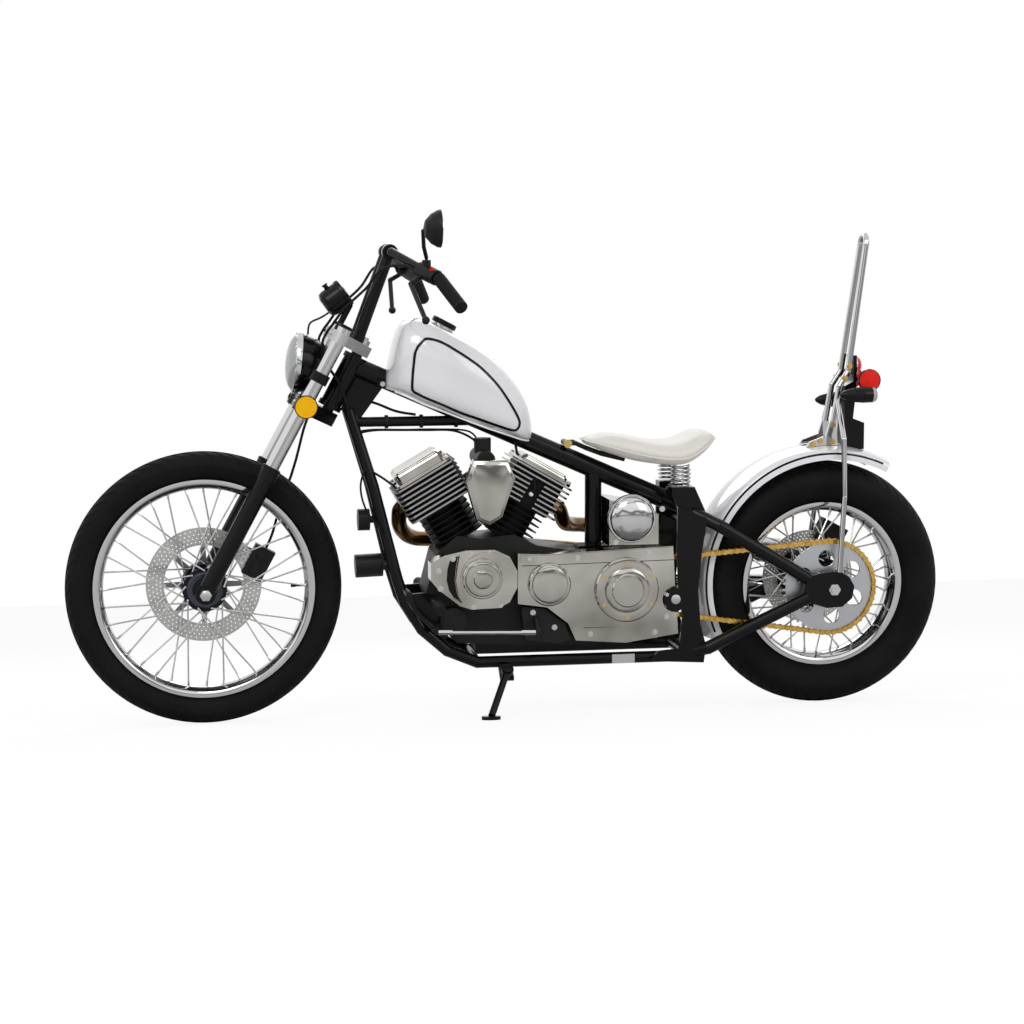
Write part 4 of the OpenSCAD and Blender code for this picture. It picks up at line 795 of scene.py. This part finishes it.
def fin_outline(x, y, corner, s=0, z=0):
    """A rectangle with cut corners. On the heads it is notched for exhaust port, intake and plug at this height."""
    a, b, c = x / 2, y / 2, corner
    port, inlet, plug = bool(s) and z < 250, bool(s) and 208 < z < 252, bool(s) and z < 288
    right, left = ((12, 60) if port else None, (-20, 20) if inlet else None)[::1 if s > 0 else -1]
    out = [(a, c - b)] + ([(a, right[0]), (70, right[0]), (70, right[1]), (a, right[1])] if right else [])
    out += [(a, b - c), (a - c, b)] + ([(18, b), (18, 52), (-18, 52), (-18, b)] if plug and s < 0 else [])
    out += [(c - a, b), (-a, b - c)] + ([(-a, left[1]), (-70, left[1]), (-70, left[0]), (-a, left[0])] if left else [])
    out += [(-a, c - b), (c - a, -b)] + ([(-18, -b), (-18, -52), (18, -52), (18, -b)] if plug and s > 0 else [])
    return out + [(a - c, -b)]


parts = []
for s in (-1, 1):
    parts.append(turned([(112, 0), (112, 50), (212, 50), (212, 0)], CRANK, bank(s)[3], 48))
    for z in np.linspace(116, 208, 7):
        parts += slab(fin_outline(132, 138, 22), z, z + 4, 0.9, bank(s))
    parts += slab(fin_outline(140, 120, 10), 210, 308, 1.5, bank(s))
    for z in np.linspace(214, 302, 8):
        parts += slab(fin_outline(178, 156, 12, s, z), z, z + 5, 0.8, bank(s), 1)
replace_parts(put("finned_cylinders", parts, [fin_black, fin_edge], "frame", 25), "cylinders")
plug = bank(1)[0] + 246 * bank(1)[3]
near = plug + ((0, -66, 0), (8, -74, 16), (2, -62, 60), (-30, -50, 96))
lead = through([*near, (800, -16, 728)], 6)
put("spark_plug", [(*rods([plug + (0, -50, 0)], [plug + (0, -58, 0)], 10, 6), 1),
                   turned([(58, 0), (58, 6), (66, 5.2), (70, 6), (72, 5), (74, 0)], plug, (0, -1, 0), 24),
                   (*tube(lead, 3.6, 10), 2)], [pearl_white, brass, soft_black], "frame")

# ---- exhaust pipes ----
# Two mandrel-bent steel pipes, browned by heat, each held in its head's port at the front and in its
# muffler at the back.
def bent(points, reach, n=8):
    """A path with its corners rounded: each a parabola between points reach, or under half a leg, away from it."""
    p = np.asarray(points, float)
    leg = np.diff(p, axis=0)
    size = np.linalg.norm(leg, axis=1)
    d = np.minimum(reach, 0.48 * np.minimum(size[:-1], size[1:]))[:, None]
    a, b = p[1:-1] - leg[:-1] / size[:-1, None] * d, p[1:-1] + leg[1:] / size[1:, None] * d
    t = np.linspace(0, 1, n)[None, :, None]
    curve = (1 - t) ** 2 * a[:, None] + 2 * t * (1 - t) * p[1:-1, None] + t ** 2 * b[:, None]
    return np.concatenate([p[:1], curve.reshape(-1, 3), p[-1:]])


pipes = [[(526.1, 36, 549.4), (505.6, 36, 537.5), (506, 60, 490), (540, 110, 450), (660, 156, 438), (1020, 162, 400),
          (1060, 168, 386), (1210.1, 203.8, 298.4), (1250, 204, 296)],
         [(897.9, 36, 549.4), (927.1, 36, 532.5), (944, 66, 488), (972, 116, 476), (1020, 156, 470),
          (1220.1, 203.8, 407.3), (1260, 204, 404)]]
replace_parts(put("bent_exhaust_pipes", [tube(bent(p, 48), 20, 32) for p in pipes], tinted, "frame", 60),
            "exhaust_pipes")

# ---- rocker covers ----
# A polished cast box on each head: a flange, a bevelled body and a raised lid, held down by six
# hexagon screws.
parts = []
for s, top in ((-1, 346), (1, 331)):
    parts += slab(fin_outline(160, 150, 12), 308.3, 316.3, 1.2, bank(s))
    outline = np.array(fin_outline(134, 132, 10))
    steps = ((0, 316), (0, top - 10), (2, top - 6), (6, top - 4), (7, top - 1.5), (10, top))
    parts += stack([(inset(outline, d) if d else outline, z) for d, z in steps], bank(s))
    foot, u, v, w = bank(s)
    at = np.array([foot + a * u + b * v + 316.3 * w for a in (-73, 73) for b in (-62, 0, 62)])
    parts.append((*rods(at, at + 6 * w, 5.5, 6), 1))
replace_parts(put("polished_rocker_boxes", parts, [polished, spoke_steel], "frame", 25), "rocker_covers")

# ---- intake cover ----
# The air filter's polished lid between the cylinders, a seven-sided plate with a bright bevelled rim,
# on a backing dish, with the intake stubs behind it.
lid = np.array([(676, 678), (765, 674), (784, 629), (750, 530), (718, 510), (684, 525), (656, 623)], float)[::-1]
steps = ((14, 84), (14, 103), (1.5, 104.5), (0, 106.5), (0, 130), (1.2, 133.5), (3.4, 135.6), (5, 136.2), (8.5, 139.2),
         (11, 140))
parts = stack([(inset(lid, d) if d else lid, y) for d, y in steps], LEFT_FACE)
parts.append((*turned([(-60, 0), (-60, 26), (84, 26), (84, 0)], (712, 0, 606), (0, -1, 0), 48), 1))
for s in (-1, 1):
    foot, u, v, w = bank(s)
    parts.append((*rods([foot - s * 70.3 * u + 232 * w], [foot - s * 112 * u + 232 * w], 16, 32), 1))
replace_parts(put("air_filter_lid", parts, [polished, case_grey], "frame", 25), "intake_cover")

# ---- primary drive side ----
# Turned and polished caps over the engine's left side, a recess, hexagon screws and two seams on its
# covers. The clutch's cap is held by six brass screws.
caps = [((696, -140.3, 376), [(0, 0), (0, 50.3), (0.8, 51), (9, 51), (11.4, 49), (11.6, 45), (12.4, 44.4), (15.6, 43),
                              (16.6, 40), (16.2, 30), (15.6, 24.5), (16.4, 23.4), (19, 22), (20.4, 17), (20.9, 9),
                              (21, 0)]),
        ((871, -128.3, 355), [(0, 0), (0, 54.3), (0.8, 55), (10, 55), (13.4, 52), (14, 48), (14.6, 46.4), (17, 45),
                              (18.4, 41), (18.9, 20), (19, 0)]),
        ((1073, -128.3, 336), [(0, 0), (0, 82.2), (0.9, 83), (10, 83), (13, 80.4), (13.9, 76), (14, 62), (13.6, 58.6),
                               (14.4, 58), (20.5, 56.4), (22.6, 52), (22.9, 45), (23.6, 42.4), (26.4, 40), (27.6, 30),
                               (28, 0)])]
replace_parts(put("turned_caps", [turned(rows, foot, (0, -1, 0), 128) for foot, rows in caps], polished, "frame",
                30), "round_covers")
t = np.radians(30 + 60 * np.arange(6))
at = (1073, 0, 336) + about_axle(71, t, -142.2)
put("clutch_cap_screws", [rods(at, at - (0, 2.4, 0), 5, 24)], brass, "frame")
shape = [(616, 428), (640, 436), (634, 404), (630, 372), (636, 336), (646, 312), (626, 324), (612, 346), (606, 372),
         (608, 402)]
put("stator_recess", slab(inset(shape, 1), 111.4, 112.8, 0.3, LEFT_FACE), line_black, "frame")
screws = np.array([(586, -134.3, 398), (590, -134.3, 352), (622, -134.3, 428), (668, -134.3, 441), (716, -134.3, 441),
                   (744, -134.3, 306), (676, -134.3, 303), (820, -128.3, 422), (944, -133.3, 422), (1130, -133.3, 432),
                   (1180, -128.3, 320), (1180, -128.3, 262), (980, -124.3, 222), (1150, -124.3, 222),
                   (888, -112.3, 240), (832, -112.3, 280), (1172, -104.3, 540), (1050, -104.3, 456)])
put("cover_screws", [rods(screws + (0, 0.6, 0), screws - (0, out, 0), r, n)
                     for out, r, n in ((5, 5.4, 6), (1.2, 7.4, 20))],
    spoke_steel, "frame")
seams = [np.linspace((800, -128.2, 404), (1198, -128.2, 410), 40),
         np.linspace((962, -124.4, 238.6), (1206, -124.4, 238.6), 30)]
put("cover_seams", [tube(seam, 0.9, 8) for seam in seams], line_black, "frame")

# ---- oil tank ----
# A polished metal box behind the seat post. A chromed, domed cap stands out of its left side in a
# turned ring.
a = np.linspace(0, np.pi / 2, 14)
dome = np.column_stack((12 + 23.2 * np.sin(a), 58 * np.cos(a)))
rows = np.concatenate([[(0, 0), (0, 62.2), (0.8, 63), (9, 63), (11.4, 61.6), (12, 59.4)], dome])
box = [(1033.3, 446), (1165, 446), (1165, 526), (1120, 550), (1033.3, 566)]
parts = [(*part[:2], 1) for part in slab(box, -60, 104, 2.4, LEFT_FACE)]
parts.append(turned(rows, (1090, -104, 517), (0, -1, 0), 128))
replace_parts(put("domed_oil_tank", parts, [chrome, polished], "frame", 40), "oil_tank")

# ---- rear fender ----
# A rolled steel mudguard in the tank's pearl white, its edges turned in, with a fine black line
# brushed along each side.
def swept(rows, middle, start, end, n, loop=True):
    """Rows of (out, radius) carried along part of a circle about a cross line through middle, in degrees."""
    p = middle + about_axle(rows[:, 1], np.radians(np.linspace(start, end, n))[:, None], rows[:, 0])
    face = np.arange(len(rows))[None]
    return [(p, woven(n, len(rows), False, loop))] + ([(p[0], face), (p[-1], face)] if loop else [])


FENDER = (1633, 0, 336)
outer = through([(321, 88.5), (338, 86), (346, 78), (352, 52), (355, 24), (356, 0), (355, -24), (352, -52), (346, -78),
                 (338, -86), (321, -88.5)], 4)
inner = through([(321, -86), (335.6, -83.5), (343, -76), (349, -51), (352, -24), (353, 0), (352, 24), (349, 51),
                 (343, 76), (335.6, 83.5), (321, 86)], 4)
section = np.concatenate([outer, inner])[:, ::-1]
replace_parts(put("painted_fender", swept(section, FENDER, 63, 205, 150), pearl_white, "frame", 50),
            "rear_fender")
stripe = through([(334.6, 87.2), (338.6, 86.1), (342.2, 83.2)], 4)[:, ::-1]
put("fender_lines", [swept(stripe * (s, 1), FENDER, 66, 202, 120, False)[0] for s in (-1, 1)], line_black, "frame")

# ---- seat hardware ----
# Two chromed barrel springs of round wire between the saddle's back and the frame's perches, and
# the brass bolt that holds the seat's strap.
t = np.linspace(0, 5, 5 * 28 + 1)
barrel = 21 + 3 * np.sin(np.pi * t / 5)
coil = np.column_stack((barrel * np.cos(2 * np.pi * t), barrel * np.sin(2 * np.pi * t), 3.8 + 50.8 * t / 5))
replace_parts(put("coiled_seat_springs", [tube(coil + (1228, s * 72, 594.3), 3.7, 10) for s in (-1, 1)], chrome, "frame",
                60), "seat_springs")
put("strap_bolt", [rods([(938, -30.2, 706)], [(938, -30.2 - out, 706)], r, n)
                   for out, r, n in ((4.8, 8, 6), (1.4, 11, 24))],
    brass, "frame")

# ---- foot controls ----
# Ribbed rubber sleeves pushed onto the pegs, and a bright steel shift rod with hexagon ends along
# the left side.
ribs = [(152 + 8 * k + d, r) for k in range(11) for d, r in ((0, 12.6), (1, 14), (5, 14), (6, 12.6))]
peg = [(150, 0), (150, 12.4)] + ribs + [(239, 12.4), (241, 0)]
put("peg_rubbers", [turned(peg, (578, 0, 312), (0, s, 0), 32) for s in (-1, 1)], soft_black, "frame")
a, b = np.array((572, -160, 244.0)), np.array((838, -160, 236.0))
w = unit(b - a)
put("shift_rod_ends", [rods([a + 8 * w, b - 44 * w], [a + 44 * w, b - 8 * w], 7.2, 6),
                       rods([a + 44 * w], [b - 44 * w], 5.3, 16)], chrome, "frame")

# ---- sissy bar and tail ----
# A chromed hoop bolted to the fender by brass screws, with the tail lamp, its two round red
# reflectors and two torpedo signals, whose pale lenses look back.
for x, z in ((1592, 695), (1612, 702), (1646, 744), (1646, 700), (1677, 867), (1689, 899)):
    put(f"hoop_screw_{x}_{z}", [rods([(x, s * low, z)], [(x, s * high, z)], r, n)
                                for low, high, r, n in ((39.2, 44, 5.5, 6), (39.0, 40.2, 8, 20)) for s in (-1, 1)],
        brass, "frame")
signal_glass = speckle(finish_of("pale_signal_lens", (0.42, 0.42, 0.40), 0.2, Coat_Weight=0.4), 80, 0.14, 0.28)
rows = [(-8, 0), (-8, 20.4), (-1, 18.6), (2.5, 16.5), (5.5, 11), (6.6, 5), (6.8, 0)]
put("signal_lenses", [turned(rows, (1735, y, z), (1, 0, 0), 40) for y, z in ((-110, 828), (110, 800))], signal_glass,
    "frame")
rows = [(69.6, 27.6), (69.6, 29.6), (72, 30), (79.6, 29.4), (80.2, 28.2), (79, 27.4), (69.6, 27.6)]
put("reflector_rims", [turned(rows, (1732, 0, 863), (0, s, 0), 64) for s in (-1, 1)], frame_black, "frame")
rows = [(-0.5, 26.4), (-0.5, 29), (2.5, 29.5), (4.5, 28), (4.6, 26.2), (-0.5, 26.4)]
put("tail_lamp_rim", [turned(rows, (1712, 0, 898), (1, 0, 0), 64)], chrome, "frame")

# ---- clamps and fork ----
# Bare cast upper clamp with its bolts and stem nut, chromed tubes in sealed sliders, the axle's
# cap, the caliper's pistons, the front tyre's valve, and round amber reflectors in thin dark rims.
TILT = np.radians(28.5)
OUT, UP = np.array((np.cos(TILT), 0, -np.sin(TILT))), np.array((np.sin(TILT), 0, np.cos(TILT)))


def on_fork(a, y, b):
    """A place in the fork's own frame: a behind the legs, y across, b up along them from the axle."""
    return FRONT + a * OUT + (0, y, 0) + b * UP


# the fork tubes' colour carries painted reflection bands
tube_chrome = paint_reflection_bands(speckle(finish_of("hard_chrome_tube", (0.62, 0.62, 0.62), 0.1, 1.0), 50, 0.06, 0.14))
rows = [(0, 0), (0, 17), (1, 18), (6, 18), (7.4, 16.6), (7.8, 12), (7.8, 0)]
parts = [turned(rows, on_fork(0, s * 98, 752.3), UP, 48) for s in (-1, 1)]
parts += [(*rods([on_fork(66, 0, 739.2)], [on_fork(66, 0, 752)], 17, 6), 1),
          (*rods([on_fork(66, 0, 752)], [on_fork(66, 0, 758)], 10, 24), 1)]
parts += [(*rods([on_fork(-24, s * 98, z)], [on_fork(-31, s * 98, z)], 5, 6), 1) for s in (-1, 1) for z in (725, 532)]
put("clamp_bolts", parts, [frame_black, spoke_steel], "fork")
rows = [(352, 0), (352, 18), (751, 18), (752, 17), (752, 0)]
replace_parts(put("chromed_fork_tubes", [turned(rows, on_fork(0, s * 98, 0), UP, 64) for s in (-1, 1)], tube_chrome,
                "fork"), "fork_tubes")
rows = [(351, 18.2), (351, 24), (353, 24.9), (357, 24.9), (359, 22), (360, 18.2), (351, 18.2)]
put("slider_seals", [turned(rows, on_fork(0, s * 98, 0), UP, 64) for s in (-1, 1)], soft_black, "fork")
rows = [(0, 0), (0, 12.6), (1.6, 12.6), (3.2, 10.4), (3.6, 0)]
put("axle_cap", [turned(rows, FRONT + (0, -134.2, 0), (0, -1, 0), 40)], bare_cast, "fork")
rows = [(0, 0), (0, 15), (4, 15), (5.4, 13), (5.4, 9), (4.2, 8), (4.2, 0)]
put("caliper_pistons", [turned(rows, on_fork(98, 44.2, 114 + d), (0, -1, 0), 40) for d in (-22, 22)], case_grey, "fork")
put("valve_stem", [rods([FRONT + (outer, 0, 0)], [FRONT + (inner, 0, 0)], r, 16)
                   for outer, inner, r in ((254, 226, 3.4), (232, 220, 4.6))], soft_black, "front_wheel")
rows = [(-4, 26.8), (-4, 29), (4, 29.4), (8.4, 28.8), (9, 27.6), (8, 26.8), (-4, 26.8)]
put("amber_rims", [turned(rows, (256, s * 127.5, 818), (0, s, 0), 64) for s in (-1, 1)], moulded, "fork")

# ---- headlamp and speedometer ----
# A black bucket lamp whose fluted lens sits in a thin chromed rim, and above it a cup speedometer
# with a plain dial in a bright ring and a reset knob.
lamp_glass = finish_of("fluted_lamp_glass", (0.40, 0.42, 0.40), 0.16, 0.45, Coat_Weight=0.4, Coat_Roughness=0.04)
nt = lamp_glass.node_tree
wave = node(nt, "TexWave", bands_direction="Y", Scale=55, Distortion=0.3)
bump = node(nt, "Bump", Distance=0.0012)
wire(nt, (node(nt, "TexCoord").outputs["Object"], wave.inputs["Vector"]), (wave.outputs["Fac"], bump.inputs["Height"]),
     (bump.outputs["Normal"], sockets_of(lamp_glass)["Normal"]))
speckle(lamp_glass, 24, 0.1, 0.24)
dip_way = np.radians(6.7)
LAMP, LAMP_WAY = np.array((243, 0, 922.0)), np.array((-np.cos(dip_way), 0, np.sin(dip_way)))
lens = through([(0.3, 71.3), (6, 70.4), (12, 66.4), (18, 58), (23, 45), (26.6, 29), (28.2, 12), (28.5, 0)], 4)
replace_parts(put("fluted_lens", [turned(np.concatenate([[(0.3, 0)], lens]), LAMP, LAMP_WAY, 96)], lamp_glass, "fork",
                50), "headlamp_lens")
rows = [(-7, 79.1), (-7, 80), (2, 80.3), (5.6, 79.3), (7.4, 76.6), (6.8, 73.6), (5.1, 72.2), (5.1, 76), (-7, 79.1)]
put("lamp_rim", [turned(rows, LAMP, LAMP_WAY, 128)], chrome, "fork")
tip = np.radians(55)
CLOCK, CLOCK_WAY, CLOCK_UP = np.array(((341, 0, 1081), (np.sin(tip), 0, np.cos(tip)), (-np.cos(tip), 0, np.sin(tip))))
a = np.radians(-130 + 260 * np.arange(14) / 13)
ray = np.cos(a)[:, None] * CLOCK_UP + np.sin(a)[:, None] * np.array((0, 1.0, 0))
dial = CLOCK + 29.2 * CLOCK_WAY
rim = [(31.8, 33.2), (31.8, 37), (33.2, 37.6), (34, 36), (33.6, 33.6), (31.8, 33.2)]
hand = dial + 1.2 * CLOCK_WAY
parts = [turned([(28.2, 0), (28.2, 32.4), (28.9, 32.4), (28.9, 0)], CLOCK, CLOCK_WAY, 64),
         (*rods(dial + 22 * ray, dial + 29 * ray, 0.7, 6), 1),
         (*rods([hand - 5 * ray[3]], [hand + 23 * ray[3]], 0.8, 6), 2),
         rods([dial], [dial + 2 * CLOCK_WAY], 3.4, 20), (*turned(rim, CLOCK, CLOCK_WAY, 96), 3)]
parts += [rods([CLOCK + low * CLOCK_UP], [CLOCK + high * CLOCK_UP], r, 20)
          for low, high, r in ((35, 43, 6), (43, 46, 8))]
put("speedometer_dial", parts, [moulded, pearl_white, ruby, chrome], "fork")

# ---- grips, switches and mirror ----
# Ribbed rubber grips, a switch box on each side with a red button on the left, and silvered glass
# in the mirror's flat face.
parts = []
for s in (-1, 1):
    a, b = np.array((574, s * 262, 1137.0)), np.array((612, s * 368, 1072.0))
    long = np.linalg.norm(b - a)
    rows = [(0, 11.5), (0, 16.2), (3, 16.4), (4.6, 15.2)]
    rows += [(6 + 7 * k + d, r) for k in range(int(long / 7) - 1)
             for d, r in ((0, 15.2), (1, 16.4), (5, 16.4), (6, 15.2))]
    rows += [(long, 16.4), (long * 1.036, 16.2), (long * 1.04, 14.6), (long * 1.04, 0), (long + 0.4, 0),
             (long + 0.4, 11.5)]
    parts.append(turned([*rows, (0, 11.5)], a, b - a, 48))
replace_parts(put("ribbed_grips", parts, soft_black, "fork", 30), "grips")
ride_way = unit((26, 44, -15))
parts = []
for s, kind in ((-1, 1), (1, 0)):
    w = ride_way * (1, s, 1)
    foot = np.array((562, s * 240, 1143.0))
    case = [(-2, 11.5), (-2, 18), (0, 19.6), (15, 19.6), (17, 18), (17, 11.5), (-2, 11.5)]
    parts.append(turned(case, foot, w, 48))
    out = unit(np.cross(w, (0, 0, 1)))
    out = unit(out * np.sign(out[0]) * -0.5 + (0, 0, 0.86))
    parts.append((*rods([foot + 8 * w + 18 * out], [foot + 8 * w + 23 * out], 5.5, 16), kind))
put("switch_boxes", parts, [moulded, ruby], "fork")
rows = [(-17, 11.4), (-17, 18.6), (-15, 20), (15, 20), (17, 18.6), (17, 11.4), (-17, 11.4)]
put("riser_caps", [turned(rows, (478, s * 38, 1200), (0, 1, 0), 48) for s in (-1, 1)], frame_black, "fork")
silvered = speckle(finish_of("silvered_mirror_glass", (0.72, 0.74, 0.76), 0.03, 1.0), 12, 0.02, 0.05)
put("mirror_glass", [turned([(0, 0), (0, 43.5), (1.2, 43), (1.2, 0)], (574.1, -300, 1258), (1, 0, 0), 64)], silvered,
    "fork")

# ---- cables ----
# Rubber sheathed control cables from the levers, in front of the upper clamp and past the lamp to
# the frame. The short wires stay with the frame.
shared = [(522, 202.5, 1155.8), (500, 167, 1168), (452, 104, 1158), (414, 72, 1110), (362, 66, 1062), (330, 64, 1020),
          (314, 63, 998)]
for name, s, rest in (("clutch_cable", -1, [(304, -62, 970), (316, -60, 920), (346, -60, 870), (364, -60, 815),
                                            (386, -50, 750), (398, -50.4, 706)]),
                      ("throttle_cable", 1, [(304, 60, 970), (320, 57, 920), (352, 50, 872), (392, 40, 832),
                                             (450, 24, 812), (496, 4, 794), (546, 0, 784.8)])):
    route = [(x, s * y, z) for x, y, z in shared] + rest
    sleeve = put(name + "_sleeve", [tube(through(route, 8), 3.4, 12)], soft_black, None, 60)
    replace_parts(sleeve, name)
    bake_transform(sleeve)
wires = [[(391, -30, 742), (440, -20, 748), (500, -14, 747), (570, -16, 746), (640, -22, 744), (690, -26, 722),
          (714, -30, 690)],
         [(391, 30, 740), (440, 22, 746), (520, 18, 745), (600, 16, 745), (680, 14, 740), (708, 6, 716), (716, 0, 690)],
         [(414, -42, 664), (396, -66, 610), (408, -76, 552), (444, -76, 500), (464, -64, 462)],
         [(418, -42, 650), (452, -62, 630), (484, -64, 606), (512, -56, 584)]]
put("frame_wires", [tube(through(w, 8), r, 10) for w, r in zip(wires, (3, 2.4, 2.6, 3))], soft_black, "frame",
    60)
put("wire_ties", [turned([(-4, 14.6), (-4, 17.4), (4, 17.4), (4, 14.6), (-4, 14.6)], (x, 0, 768), (1, 0, 0), 32)
                  for x in (470, 560, 650)], moulded, "frame")

# ---- frame fittings ----
# Bolt heads on the tank's ears, a pale cap on the rear post, and the bare riveted plate on the
# left rail.
ears = np.array([(456, -48.2, 868), (456, 48.2, 868)])
put("ear_bolts", [rods(ears, ears + ((0, -5, 0), (0, 5, 0)), 7, 6)], spoke_steel, "frame")
put("post_cap", [turned([(0, 0), (0, 12.4), (2.4, 12.2), (3.4, 10.6), (3.6, 0)], (1203, -132.2, 307), (0, -1, 0), 40)],
    bare_cast, "frame")
rail_plate = slab([(1040, 140), (1100, 140), (1100, 164), (1040, 164)], 110.1, 111.4, 0.3, LEFT_FACE)
rivets = [rods([(x, -111, z)], [(x, -112.6, z)], 2.2, 12) for x in (1045, 1095) for z in (145, 159)]
put("bare_rail_plate", rail_plate + rivets, zinc, "frame")
